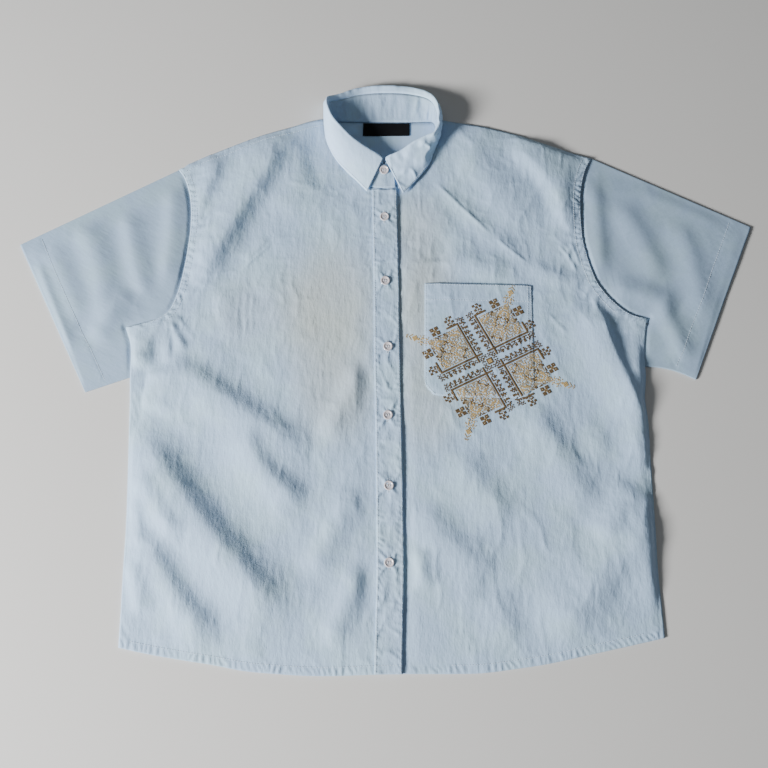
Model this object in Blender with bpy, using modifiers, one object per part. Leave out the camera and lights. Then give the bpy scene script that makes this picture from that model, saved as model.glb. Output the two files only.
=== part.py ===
"""Short-sleeved button-up shirt, laid flat on its back with the neck towards +Y.

Tables are in millimetres and the scene is in metres. The layers, from the floor up, are the back,
the left front, the right front that laps over it, the button placket and the buttons.
Left and right are the wearer's, so the right front lies on the -X side.
"""

import math

import bmesh
import bpy
import numpy as np

MM = 0.001

WALL = 1.0  # every cloth wall
SEAM_GAP = 0.3  # clear height between two layers
LAYER = WALL + SEAM_GAP
BED = LAYER  # underside of a layer that lies on the back panel
LAP = 2 * LAYER  # underside of a layer that lies on one more
PUFF = 1.4  # how far the fronts stand off the back between their edges

ARMHOLE_LAP_BAND = 26.0  # width over which a front comes down from the armhole seam
CENTRE_LAP_BAND = 34.0  # the same, beside the placket
ARMHOLE_FLAT = 6.0  # width beside the armhole that lies flat on the sleeve
UNDERARM_END = -32.0  # y down to which the sleeve lies under the side
EDGE_ROUND = 15.0  # width over which the side edge turns down
EDGE_FADE = 7.0  # folds fade out over this width at the sides and shoulders
HEM_CALM = 26.0  # and over this height above the hem
RIGHT_CENTRE_FADE = (4.0, 20.0)  # where folds begin beside the placket, and how fast they grow
LEFT_CENTRE_FADE = (2.0, 16.0)

PLACKET_WIDTH = 31.5
PLACKET_OVERHANG = 0.6
PLACKET_TOP_Y = 221.0

COLLAR_CENTRE = (-6.0, 268.0)  # the folds stay clear of this ellipse, where the collar lies
COLLAR_REACH = (84.0, 60.0)
COLLAR_FADE = 0.3  # share of the ellipse's size over which they return
POCKET_CALM = (32.0, -60.0, 192.0, 108.0)  # and are faint inside this box
POCKET_FADE = 14.0
POCKET_FOLD_SHARE = 0.2

STAND_SHARE = 0.78  # part of the way from neck seam to roll that the stand takes
ROLL_BACK = 3.4  # the collar's roll: how far its two walls run side by side
ROLL_LOFT = 3.4  # and how far they are apart
FALL_SEAM_GAP = 0.4
FALL_HANDLE = 0.4  # share of the way to the edge where the fall bulges most

BUTTON_RADIUS = 5.75
BUTTON_HOLE_RADIUS = 0.8
BUTTON_HOLE_OFFSET = 1.35
BUTTON_HOLE_DEPTH = 8.0
BUTTON_SIDES = 20

LABEL_SIZE = (60.0, 18.0)
LABEL_CENTRE = (0.0, 305.4)

MIDDLE_Y = 1.0  # the shirt's middle in the tables' y
CROSS_WEIGHT = 0.25
RELAX_ROUNDS = 60
FRONT_GRID = (26, 36)
SHOULDER_COLUMNS, NECK_COLUMNS = 17, 9  # of the front's grid
SIDE_ROWS, ARMHOLE_ROWS = 24, 12
BACK_GRID = (14, 20)
BACK_SHOULDER_COLUMNS, BACK_NECK_COLUMNS = 5, 4
BACK_HEM_COLUMNS = BACK_GRID[0] // 2
BACK_SIDE_ROWS = 10
SLEEVE_GRID = (10, 12)  # stations across the flat, rings along the sleeve
PLACKET_GRID = (3, 34)
POCKET_GRID = (9, 10)

# Outlines, as (x, y) points.
RIGHT_HEM = (
    (-300, -333), (-266, -340), (-230, -346), (-194, -351.5), (-158.6, -357.8), (-122.9, -361),
    (-87.4, -363), (-51.8, -363), (-16.3, -361.6), (17, -361),
)
RIGHT_SIDE = (
    (-300, -333), (-300, -300), (-300.5, -250), (-300.5, -200), (-302, -150), (-304, -100),
    (-306, -50), (-307.5, -20), (-308, 0), (-310, 20), (-317, 40),
)
RIGHT_ARMHOLE = (
    (-317, 40), (-300, 43.5), (-280, 50), (-265, 61), (-257, 80), (-252, 100), (-247, 130),
    (-244, 160), (-244, 185), (-246, 205), (-250, 222), (-256, 237), (-264, 248),
)
RIGHT_SHOULDER = (
    (-264, 248), (-257.4, 251.5), (-242.6, 261.2), (-202.6, 279.4), (-162.2, 296.3),
    (-121.4, 309), (-101, 316.1), (-80.4, 320.4), (-73, 321.5),
)
RIGHT_NECK = (
    (-73, 321.5), (-69.5, 311), (-67.8, 300), (-65.6, 284), (-61, 268.5), (-54.3, 254),
    (-44.8, 241.8), (-33, 233), (-19.5, 226.5), (-4, 224.5), (13.2, 224.5),
)
RIGHT_CENTRE = (
    (17, -361), (17.5, -330), (19.3, -250), (19.2, -200), (18, -100), (16, 0), (15, 100),
    (13.2, 200), (13.2, 224.5),
)
LEFT_HEM = (
    (-12, -361.4), (18, -361), (72.5, -361), (108.1, -360), (143.8, -355.7), (179.6, -350.4),
    (215.6, -343), (251.7, -335.5), (311.9, -322.6),
)
LEFT_SIDE = (
    (311.9, -322.6), (311, -290), (309.5, -250), (310, -200), (310, -120), (310.5, -80),
    (308.5, -50), (309.5, -35), (311, -20), (311, 0), (313, 20), (316, 40), (320, 51.5),
)
LEFT_ARMHOLE = (
    (320, 51.5), (308, 53), (295, 58), (280, 70), (268, 84), (259, 98), (254, 112), (249, 130),
    (245, 150), (243.5, 170), (243, 190), (244, 210), (247, 228), (253, 248), (261.6, 264),
)
LEFT_SHOULDER = (
    (261.6, 264), (247.2, 268.2), (207, 283.6), (166.5, 297.7), (125.7, 309), (84.6, 316.1),
    (66, 320.5),
)
LEFT_NECK = (
    (66, 320.5), (62.2, 306), (61.7, 295), (59.2, 281), (53.8, 265), (45.5, 250.5), (35, 239),
    (22.3, 230), (10, 225.6), (-3, 224.5), (-12, 224.5),
)
LEFT_CENTRE = ((-12, -361.4), (-12, 224.5))
BACK_NECK = ((-73, 321.5), (-66, 318.5), (-30, 318), (30, 318), (58, 318.5), (66, 320.5))
BACK_ARMHOLE_RIGHT = (
    (-306.3, -22), (-297, -2), (-281, 28), (-264, 60), (-252, 100), (-247, 140), (-245, 180),
    (-250, 220), (-264, 248),
)
BACK_ARMHOLE_LEFT = (
    (311, -9), (300, 14), (284, 44), (268, 76), (256, 110), (248, 150), (246, 190), (251, 228),
    (261.6, 264),
)
# The sleeves' upper walls end under the front's armhole seam.
SLEEVE_CAP_RIGHT = (
    (-264.6, 248.4), (-249, 234), (-242, 214), (-237, 190), (-236, 165), (-239, 130), (-244, 100),
    (-250, 78), (-261, 54), (-279, 38), (-296, 16), (-306.8, -21.6),
)
SLEEVE_CAP_LEFT = (
    (262.2, 264.4), (246, 246), (239, 228), (235, 206), (234, 188), (235, 168), (238, 146),
    (244, 122), (251, 96), (262, 74), (278, 58), (298, 38), (311.5, -8.6),
)
CUFF_RIGHT = ((-456, 147.5), (-360, -40.5))
CUFF_LEFT = ((456, 171), (371, -25))
SLEEVE_PUFF = 0.9
SLEEVE_FLAT = 2.0  # width beside the armhole where a sleeve stays flat
SLEEVE_RISE_BAND = 12.0  # and width over which it rises
CAP_WIDTH = 270.0  # across the sleeve's end
SLEEVE_EDGE_CALM = 0.12  # share of its width over which it rises from a folded edge
CUFF_CALM = 0.06  # and share of its length from the cuff
SEAM_OFFSET = 0.6  # the sleeves' lower walls stop this far from the back's armhole
UNDERARM_BOW = 4.0  # the left sleeve's lower edge bows out by this

POCKET_TOP = ((47, 96), (178.5, 93))
POCKET_LEFT = ((45.5, -22), (47, 96))
POCKET_RIGHT = ((177, -24), (178.5, 93))
POCKET_BOTTOM = (
    (45.5, -22), (47.5, -33), (53, -40), (62, -45), (110, -47), (161, -47), (170, -42.5),
    (175.5, -34), (177, -24),
)

# Folds. Each runs through three points; left_spread is its half-width on the left as it runs on from
# (x1, y1), right_spread on the other side, and rise its height, negative for a trough.
FOLD_COLUMNS = ("x1", "y1", "x2", "y2", "x3", "y3", "left_spread", "right_spread", "rise")
RIGHT_FOLDS = (
    (-241, 128, -222, 185, -182, 286, 22, 9, 4.2),
    (-212, 116, -174, 196, -120, 302, 16, 13, 5.0),
    (-140, 180, -113, 238, -92, 300, 20, 18, 2.6),
    (-176, 124, -164, 137, -146, 158, 5, 4, 0.8),
    (-262, 58, -262, 36, -254, 14, 6, 5, 2.2),
    (-272, 54, -282, 28, -296, -8, 7, 7, 3.4),
    (-292, 46, -303, 20, -304, -12, 6, 7, 2.6),
    (-288, -6, -297, -50, -301, -88, 6, 5, -2.2),
    (-270, -4, -266, -30, -276, -70, 14, 18, 2.0),
    (-256, -4, -204, -40, -94, -108, 12, 24, 3.6),
    (-284, -98, -207, -197, -112, -290, 15, 28, 6.2),
    (-158, -98, -136, -136, -98, -164, 9, 16, 2.4),
    (-270, -222, -240, -268, -204, -308, 10, 16, 3.0),
    (-276, -150, -258, -184, -236, -204, 8, 12, 1.8),
    (-28, 0, -52, -60, -82, -97, 14, 10, 2.4),
    (-50, -168, -66, -210, -84, -246, 13, 9, 2.2),
    (-30, -250, -46, -285, -60, -318, 12, 9, 2.4),
    (-300, -166, -288, -186, -282, -226, 8, 8, 2.0),
    (-298, -236, -284, -262, -276, -300, 9, 7, 2.2),
    (-205, 92, -196, 60, -190, 20, 12, 12, 1.2),
)
LEFT_FOLDS = (
    (150, 299, 206, 240, 234, 160, 34, 9, 6.4),
    (84, 278, 134, 232, 184, 160, 26, 18, 3.0),
    (52, 240, 110, 180, 178, 118, 6, 5, 1.8),
    (20, 162, 54, 146, 66, 122, 12, 12, -1.4),
    (66, 134, 110, 120, 152, 110, 14, 12, 1.8),
    (178, 118, 206, 104, 246, 97, 6, 7, 2.0),
    (252, 82, 272, 8, 304, -82, 7, 22, 4.6),
    (304, 30, 301, -60, 300, -150, 9, 14, 5.0),
    (300, -140, 299, -220, 302, -300, 9, 15, 4.6),
    (176, -72, 206, -122, 230, -168, 9, 16, 2.6),
    (94, -130, 112, -155, 132, -180, 8, 14, 2.0),
    (50, -190, 76, -220, 108, -247, 8, 16, 2.2),
    (296, -192, 262, -238, 188, -312, 18, 26, 4.4),
    (36, -222, 40, -246, 46, -272, 10, 8, 2.0),
    (282, -158, 266, -182, 250, -206, 10, 12, 1.6),
    (120, -268, 128, -300, 140, -330, 14, 14, 1.4),
)
SLEEVE_RIGHT_FOLDS = (
    (-266, 232, -263, 160, -266, 86, 10, 8, 1.6),
    (-424, 152, -398, 106, -368, 44, 9, 7, 0.8),
    (-318, 180, -304, 120, -286, 74, 9, 7, 0.8),
    (-345, 40, -330, 58, -312, 78, 9, 9, 0.8),
)
SLEEVE_LEFT_FOLDS = (
    (254, 236, 259, 170, 258, 106, 9, 9, 2.0),
    (272, 80, 308, 84, 348, 62, 12, 10, 2.2),
    (330, 62, 348, 36, 356, 4, 9, 7, 1.6),
    (318, 226, 360, 205, 420, 178, 7, 7, 0.8),
)

# The collar, in stations that run from the front's centre round the right side and the back to
# the front again: the neck seam, the roll line, the loose edge, and how far the cloth behind the
# roll bulges outwards.
COLLAR_COLUMNS = (
    "seam_x", "seam_y", "seam_z", "roll_x", "roll_y", "roll_z", "edge_x", "edge_y", "edge_z", "bulge",
)
COLLAR = (
    (-4, 222.5, 4.6, -5, 260.5, 12.2, -24.5, 217, 6.6, 0.6),
    (-20, 224.5, 4.4, -13, 266, 13.6, -31, 224, 6.2, 0.8),
    (-34, 231, 4.0, -22, 271, 15.4, -40, 234, 5.8, 1.2),
    (-46, 240, 3.6, -32, 277, 18, -51, 245.5, 5.6, 1.8),
    (-56, 253, 3.3, -44, 285, 22, -61, 257, 5.4, 2.4),
    (-63, 268, 3.1, -56, 296.5, 26, -70, 272, 5.2, 3.0),
    (-67.5, 284, 2.9, -65, 306.5, 29, -76.5, 288, 5.2, 2.6),
    (-69.8, 300, 2.8, -70.5, 317, 30, -79.5, 306, 5.0, 1.6),
    (-70.8, 311.5, 2.7, -74, 329.5, 27.5, -80.5, 326, 4.0, 1.4),
    (-66, 316.4, 2.1, -73.5, 339, 24, -79, 343, 1.6, 2.0),
    (-58, 316.4, 1.9, -65.5, 344.5, 19, -66, 340, 0.7, 5.0),
    (-49, 316.2, 1.8, -56.5, 349.5, 15.5, -54, 334, 0.6, 7.0),
    (-40, 316, 1.8, -46.5, 355.5, 12.5, -43, 328, 0.6, 4.0),
    (-30, 316, 1.8, -35, 360.5, 10, -32, 323, 0.6, 2.0),
    (-15, 316, 1.8, -16, 363.3, 10, -15, 322.4, 0.6, 1.0),
    (0, 316, 1.8, 2, 363.7, 10.2, 1, 322.2, 0.6, 1.0),
    (15, 316, 1.8, 20, 363, 10.4, 17, 322.4, 0.6, 1.0),
    (30, 316, 1.8, 37, 359.5, 11.4, 33, 323, 0.6, 1.0),
    (43, 316.2, 1.8, 50, 353.5, 14, 46, 325, 0.6, 1.6),
    (53, 316.4, 1.9, 57.5, 345, 18, 56, 331.5, 0.7, 2.4),
    (60.5, 315, 2.1, 61.5, 333, 24, 66, 336, 1.6, 2.4),
    (63.6, 306.5, 2.7, 64.5, 318, 28, 69.5, 320, 4.0, 1.6),
    (63.5, 295, 2.8, 64.5, 303, 28.5, 69, 303, 5.0, 1.6),
    (61, 280, 2.9, 59.5, 291, 26, 65.5, 286, 5.2, 2.4),
    (55.5, 264, 3.0, 50, 286, 23, 60, 271, 5.4, 2.6),
    (47, 249, 3.1, 39, 281.5, 20, 54.5, 256, 5.6, 2.4),
    (36, 237, 3.1, 29, 276, 17.5, 46, 242.5, 5.8, 1.8),
    (23, 228, 3.1, 19, 269.5, 15, 37, 231.5, 6.0, 1.2),
    (10, 226, 3.0, 9, 265, 12.8, 28.5, 222, 6.2, 0.8),
    (-3, 225.6, 2.9, -0.5, 261.5, 10.7, 21, 214.5, 6.6, 0.6),
)
# The stand runs past the centre at both ends: seam point, then top point.
STAND_RIGHT_END = ((11.5, 223.5, 4.7), (10.5, 250.5, 10.7))
STAND_LEFT_END = ((-10, 226.8, 2.9), (-9, 251, 8.6))
STAND_ROWS = 4
FLOOR_CLEAR = 0.9  # lowest middle of the collar's wall
FALL_ROWS = 6  # between the roll and the loose edge

BUTTONS = ((-2.5, 183.2), (-1.5, 98.9), (1.6, 15.2), (1.6, -68.9), (2.6, -152.3), (2.9, -239.9))
COLLAR_BUTTON = (-2.7, 244.6, 9.75)
COLLAR_BUTTON_TILT = math.radians(11.3)


def clear_scene():
    for obj in list(bpy.data.objects):
        bpy.data.objects.remove(obj, do_unlink=True)
    for mesh in list(bpy.data.meshes):
        bpy.data.meshes.remove(mesh)


def principled(name, colour, roughness):
    material = bpy.data.materials.new(name)
    material.use_nodes = True
    shader = material.node_tree.nodes["Principled BSDF"]
    shader.inputs["Base Color"].default_value = (*colour, 1.0)
    shader.inputs["Roughness"].default_value = roughness
    material.diffuse_color = (*colour, 1.0)
    return material


def smooth(t):
    t = np.clip(t, 0.0, 1.0)
    return t * t * (3.0 - 2.0 * t)


def along(points, share, main_axis=None):
    """The point at each share of a polyline's length. With a main axis, steps across that axis
    count only by CROSS_WEIGHT, which keeps the lines of a grid nearly square to it."""
    points = np.array(points, float)
    steps = np.linalg.norm(np.diff(points, axis=0), axis=1)
    if main_axis is not None:
        moves = np.abs(np.diff(points, axis=0))
        steps = moves[:, main_axis] + CROSS_WEIGHT * moves[:, 1 - main_axis]
    length = np.concatenate([[0.0], np.cumsum(steps)])
    at = np.asarray(share) * length[-1]
    return np.stack([np.interp(at, length, points[:, k]) for k in range(points.shape[1])], axis=-1)


def fold_height(x, y, folds):
    """Sum of the folds at each (x, y): ridges and troughs with a soft, two-sided section."""
    total = np.zeros(np.shape(x))
    for row in folds:
        fold = dict(zip(FOLD_COLUMNS, row))
        first, middle, last = (np.array([fold["x" + n], fold["y" + n]], float) for n in "123")
        bend = 2 * middle - (first + last) / 2
        t = np.linspace(0.0, 1.0, 13)[:, None]
        spine = (1 - t) ** 2 * first + 2 * t * (1 - t) * bend + t**2 * last
        best = np.full(np.shape(x), 1e9)
        value = np.zeros(np.shape(x))
        for k in range(len(spine) - 1):
            step = spine[k + 1] - spine[k]
            size = np.hypot(*step)
            px, py = x - spine[k][0], y - spine[k][1]
            near = np.clip((px * step[0] + py * step[1]) / size**2, 0, 1)
            dx, dy = px - near * step[0], py - near * step[1]
            away = np.hypot(dx, dy)
            side = (step[0] * py - step[1] * px) / size
            spread = np.where(side > 0, fold["left_spread"], fold["right_spread"])
            share = (k + near) / (len(spine) - 1)
            taper = smooth(share * 4) * smooth((1 - share) * 4)
            height = fold["rise"] * np.exp(-((away / spread) ** 2)) * taper
            value = np.where(away < best, height, value)
            best = np.minimum(away, best)
        total = total + value
    return total


def off_collar(x, y):
    """0 where the collar lies, 1 well clear of it."""
    radius = np.hypot((x - COLLAR_CENTRE[0]) / COLLAR_REACH[0], (y - COLLAR_CENTRE[1]) / COLLAR_REACH[1])
    return smooth((radius - 1.0) / COLLAR_FADE)


def off_pocket(x, y):
    """Small under the pocket, 1 clear of it."""
    x0, y0, x1, y1 = POCKET_CALM
    inside = np.minimum(np.minimum(x - x0, x1 - x), np.minimum(y - y0, y1 - y))
    return 1 - (1 - POCKET_FOLD_SHARE) * smooth(inside / POCKET_FADE)


def distance_to(points, x, y):
    """Distance from each (x, y) to a polyline."""
    points = np.array(points, float)
    best = np.full(np.shape(x), 1e9)
    for a, b in zip(points[:-1], points[1:]):
        step = b - a
        near = np.clip(((x - a[0]) * step[0] + (y - a[1]) * step[1]) / (step @ step), 0, 1)
        best = np.minimum(best, np.hypot(x - a[0] - near * step[0], y - a[1] - near * step[1]))
    return best


def clear_of(outline, x, y):
    """How far one point lies outside a closed outline, and 0 inside it."""
    crossings = 0
    for (ax, ay), (bx, by) in zip(outline, outline[1:] + outline[:1]):
        if (ay > y) != (by > y) and x < ax + (y - ay) * (bx - ax) / (by - ay):
            crossings += 1
    return 0.0 if crossings % 2 else float(distance_to(outline, x, y))


def front_height(x, y, side, armhole, hem, shoulder, folds):
    """Underside of a front panel: it rests on the back, climbs over the sleeve at the armhole,
    and stands a little off the back between its edges."""
    from_side = distance_to(side, x, y)
    underarm = [p for p in side if p[1] > UNDERARM_END]
    from_sleeve = np.minimum(distance_to(armhole, x, y), distance_to(underarm, x, y))
    over_sleeve = 1 - smooth((from_sleeve - ARMHOLE_FLAT) / ARMHOLE_LAP_BAND)
    from_hem = distance_to(hem, x, y)
    from_shoulder = distance_to(shoulder, x, y)
    inner = smooth(np.minimum(from_side, from_shoulder) / EDGE_ROUND) * smooth(from_hem / HEM_CALM)
    edge = smooth(np.minimum(np.minimum(from_side, from_shoulder), from_hem) / EDGE_FADE)
    rest = BED + (LAP - BED) * over_sleeve
    raised = rest + off_collar(x, y) * (PUFF * inner + off_pocket(x, y) * edge * fold_height(x, y, folds))
    return np.maximum(raised, rest)


def right_front_height(x, y):
    from_centre = np.interp(y, *np.array(RIGHT_CENTRE).T[::-1]) - PLACKET_WIDTH - x
    beside = 1 - smooth(from_centre / CENTRE_LAP_BAND)
    lapped = BED + (LAP - BED) * beside
    height = front_height(x, y, RIGHT_SIDE, RIGHT_ARMHOLE, RIGHT_HEM, RIGHT_SHOULDER, RIGHT_FOLDS)
    start, width = RIGHT_CENTRE_FADE
    keep = smooth((from_centre - start) / width)
    return np.maximum(lapped, lapped + (height - BED) * keep)


def left_front_height(x, y):
    height = front_height(x, y, LEFT_SIDE, LEFT_ARMHOLE, LEFT_HEM, LEFT_SHOULDER, LEFT_FOLDS)
    from_centre = x - np.interp(y, *np.array(RIGHT_CENTRE).T[::-1])
    start, width = LEFT_CENTRE_FADE
    return BED + (height - BED) * smooth((from_centre - start) / width)


def along_pieces(pieces, share, main_axis=None):
    """As along, over (polyline, cells) pieces that follow one another: each piece takes its own
    number of the grid's cells, so that a grid line ends at every corner."""
    total = sum(cells for _, cells in pieces)
    at = np.asarray(share) * total
    result = np.zeros((*np.shape(at), 2))
    first = 0
    for points, cells in pieces:
        local = np.clip((at - first) / cells, 0.0, 1.0)
        inside = at >= first - 1e-9
        result[inside] = along(points, local, main_axis)[inside]
        first += cells
    return result


def patch(bottom, top, left, right):
    """(u, v) to (x, y) over the patch between four edges; u runs from left to right, v upwards.
    An edge is a list of (polyline, cells) pieces."""

    def at(u, v):
        low, high = along_pieces(bottom, u, 0), along_pieces(top, u, 0)
        near, far = along_pieces(left, v), along_pieces(right, v)
        u, v = u[..., None], v[..., None]
        corners = [
            np.array(p, float) for p in (bottom[0][0][0], bottom[-1][0][-1], top[0][0][0], top[-1][0][-1])
        ]
        return (
            (1 - v) * low + v * high + (1 - u) * near + u * far
            - (1 - u) * (1 - v) * corners[0] - u * (1 - v) * corners[1]
            - (1 - u) * v * corners[2] - u * v * corners[3]
        )

    return at


def panel_points(edges, columns, rows):
    """The patch as an array of rows of points, its inner points evened out."""
    u, v = np.meshgrid(np.linspace(0, 1, columns + 1), np.linspace(0, 1, rows + 1))
    points = patch(*edges)(u, v)
    for _ in range(RELAX_ROUNDS):
        across = (points[1:-1, 2:] - points[1:-1, :-2]) / 2
        upwards = (points[2:, 1:-1] - points[:-2, 1:-1]) / 2
        a = (upwards**2).sum(-1, keepdims=True)
        b = (across * upwards).sum(-1, keepdims=True)
        c = (across**2).sum(-1, keepdims=True)
        skew = points[2:, 2:] - points[2:, :-2] - points[:-2, 2:] + points[:-2, :-2]
        even = a * (points[1:-1, 2:] + points[1:-1, :-2]) + c * (points[2:, 1:-1] + points[:-2, 1:-1]) - b / 2 * skew
        points[1:-1, 1:-1] = (points[1:-1, 1:-1] + even / (2 * (a + c))) / 2
    return points


def plain(*points):
    """An edge of one piece."""
    return [(points, 1)]


def grid_mesh(name, columns, rows, place, collection, material, close_across=False, close_along=False):
    """A Blender grid whose vertices `place` moves from (u, v) in 0..1 to millimetres."""
    mesh = bpy.data.meshes.new(name)
    bm = bmesh.new()
    bmesh.ops.create_grid(bm, x_segments=columns, y_segments=rows, size=0.5)
    u = np.array([v.co.x + 0.5 for v in bm.verts])
    v = np.array([v.co.y + 0.5 for v in bm.verts])
    for vert, point in zip(bm.verts, place(u, v)):
        vert.co = (float(point[0]) * MM, (float(point[1]) - MIDDLE_Y) * MM, float(point[2]) * MM)
    if close_across or close_along:
        bmesh.ops.remove_doubles(bm, verts=bm.verts, dist=1e-7)
        bmesh.ops.recalc_face_normals(bm, faces=bm.faces)
    bm.to_mesh(mesh)
    bm.free()
    obj = bpy.data.objects.new(name, mesh)
    collection.objects.link(obj)
    mesh.materials.append(material)
    return obj


def give_wall(obj, offset, thickness=WALL):
    """Solidify: offset 1 grows the wall along the normals, 0 to both sides."""
    wall = obj.modifiers.new("wall", "SOLIDIFY")
    wall.thickness = thickness * MM
    wall.offset = offset
    wall.use_even_offset = True
    return obj


def panel(name, grid, edges, height, collection, material, extra=0.0):
    """A flat-cut panel that lies at its height function, with its wall above that."""
    points = panel_points(edges, *grid)

    def place(u, v):
        xy = points[np.rint(v * grid[1]).astype(int), np.rint(u * grid[0]).astype(int)]
        z = height(xy[:, 0], xy[:, 1]) + extra
        return np.column_stack([xy, z])

    return give_wall(grid_mesh(name, grid[0], grid[1], place, collection, material), 1.0)


def flat(x, y):
    return np.zeros(np.shape(x))


def sleeve(name, cuff, cap, armhole, body, folds, bow, collection, material):
    """A flattened tube. Round the wall, v runs out along the outside and back along the inside.
    Its upper wall lies flat under the body's outline."""
    across, rings = SLEEVE_GRID
    outer, inner = LAYER - SEAM_GAP / 2, SEAM_GAP / 2  # radii of the folded edges
    turn = [math.radians(a) for a in (-90, -45, 0, 45, 90)]
    flat_shares = np.linspace(0, 1, across + 1)[1:-1]
    # Stations round the ring: (share across, edge turn angle or None, upper wall or lower).
    stations = [(0.0, a, None) for a in turn]
    stations += [(s, None, True) for s in flat_shares]
    stations += [(1.0, a, None) for a in turn[::-1]]
    stations += [(s, None, False) for s in flat_shares[::-1]]
    count = len(stations)
    lower_cap = [(p[0], p[1]) for p in armhole[::-1]]
    outward = SEAM_OFFSET if cuff[0][0] > 0 else -SEAM_OFFSET
    lower_cap = [(x + outward, y) for x, y in lower_cap]

    def point(station, ring, inside):
        share, angle, upper = stations[station % count]
        wall_radius = inner if inside else outer
        cuff_point = along(cuff, share)
        end_upper, end_lower = along(cap, share), along(lower_cap, share)
        width = np.linalg.norm(along(cuff, 1.0) - along(cuff, 0.0)) * (1 - ring) + CAP_WIDTH * ring
        if angle is None:
            end = end_upper if upper else end_lower
            xy = cuff_point + (end - cuff_point) * ring
            if not upper:
                return (*xy, WALL if inside else 0.0)
            free = smooth((clear_of(body, *xy) - SLEEVE_FLAT) / SLEEVE_RISE_BAND)
            free *= smooth(ring / CUFF_CALM) * smooth(min(share, 1 - share) / SLEEVE_EDGE_CALM)
            lift = free * (SLEEVE_PUFF + max(0.0, float(fold_height(xy[0], xy[1], folds))))
            return (*xy, BED + lift if inside else BED + WALL + lift)
        reach = (outer - wall_radius * math.cos(angle)) / width
        at = reach if share == 0.0 else 1 - reach
        ends = along(cap, at) if angle > 0 else along(lower_cap, at)
        if angle == 0:
            ends = (along(cap, at) + along(lower_cap, at)) / 2
        start = along(cuff, at)
        xy = start + (ends - start) * ring
        if share == 1.0:
            xy = xy + np.array([0.0, bow * math.sin(math.pi * ring)])
        return (*xy, outer + wall_radius * math.sin(angle))

    def place(u, v):
        points = []
        for a, b in zip(np.rint(u * count).astype(int), np.rint(v * 2 * (rings + 1)).astype(int)):
            b = b % (2 * (rings + 1))
            inside = b > rings
            ring = b if not inside else 2 * rings + 1 - b
            points.append(point(a, ring / rings, inside))
        return points

    return grid_mesh(name, count, 2 * (rings + 1), place, collection, material, True, True)


def collar_rows():
    return [dict(zip(COLLAR_COLUMNS, row)) for row in COLLAR]


def triple(row, key):
    return np.array([row[key + "_x"], row[key + "_y"], row[key + "_z"]], float)


def stand_stations():
    stations = [STAND_RIGHT_END]
    for row in collar_rows():
        seam, roll = triple(row, "seam"), triple(row, "roll")
        stations.append((seam, seam + (roll - seam) * STAND_SHARE))
    return stations + [STAND_LEFT_END]


def collar_stand(collection, material):
    stations = stand_stations()

    def place(u, v):
        points = []
        for a, b in zip(np.rint(u * (len(stations) - 1)).astype(int), v):
            seam, top = (np.array(p, float) for p in stations[a])
            points.append(seam + (top - seam) * b)
        return points

    return give_wall(grid_mesh("collar_stand", len(stations) - 1, STAND_ROWS, place, collection, material), 0.0)


def fall_section(rows, index):
    """Points of the fall at one station, from the seam with the stand over the roll to its edge."""
    row = rows[index]
    seam, roll, edge = (triple(row, key) for key in ("seam", "roll", "edge"))
    before, after = rows[max(index - 1, 0)], rows[min(index + 1, len(rows) - 1)]
    ahead = triple(after, "roll") - triple(before, "roll")
    up = (roll - seam) / np.linalg.norm(roll - seam)
    out = np.cross(up, ahead)
    out /= np.linalg.norm(out)
    top = seam + (roll - seam) * STAND_SHARE
    start = top + up * FALL_SEAM_GAP
    inner = roll - up * ROLL_BACK
    turned = roll - up * ROLL_BACK + out * ROLL_LOFT
    crown = roll + out * ROLL_LOFT / 2
    points = [start, inner, crown, turned]
    swell = np.array([out[0], out[1], max(out[2], 0.0)])
    swell *= 2 * row["bulge"] / np.linalg.norm(swell)
    handle = turned + (edge - turned) * FALL_HANDLE + swell
    for k in range(1, FALL_ROWS + 1):
        t = k / FALL_ROWS
        points.append((1 - t) ** 2 * turned + 2 * t * (1 - t) * handle + t**2 * edge)
        points[-1][2] = max(points[-1][2], FLOOR_CLEAR)
    return points


def collar_fall(collection, material):
    rows = collar_rows()
    sections = [fall_section(rows, k) for k in range(len(rows))]
    steps = len(sections[0]) - 1

    def place(u, v):
        columns = np.rint(u * (len(rows) - 1)).astype(int)
        return [sections[a][b] for a, b in zip(columns, np.rint(v * steps).astype(int))]

    return give_wall(grid_mesh("collar_fall", len(rows) - 1, steps, place, collection, material), 0.0)


def placket(collection, material):
    right = [(x + PLACKET_OVERHANG, min(y, PLACKET_TOP_Y)) for x, y in RIGHT_CENTRE]
    left = [(x - PLACKET_WIDTH, y) for x, y in right]
    edges = (plain(left[0], right[0]), plain(left[-1], right[-1]), plain(*left), plain(*right))
    return panel("placket", PLACKET_GRID, edges, right_front_height, collection, material, LAYER)


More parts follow.
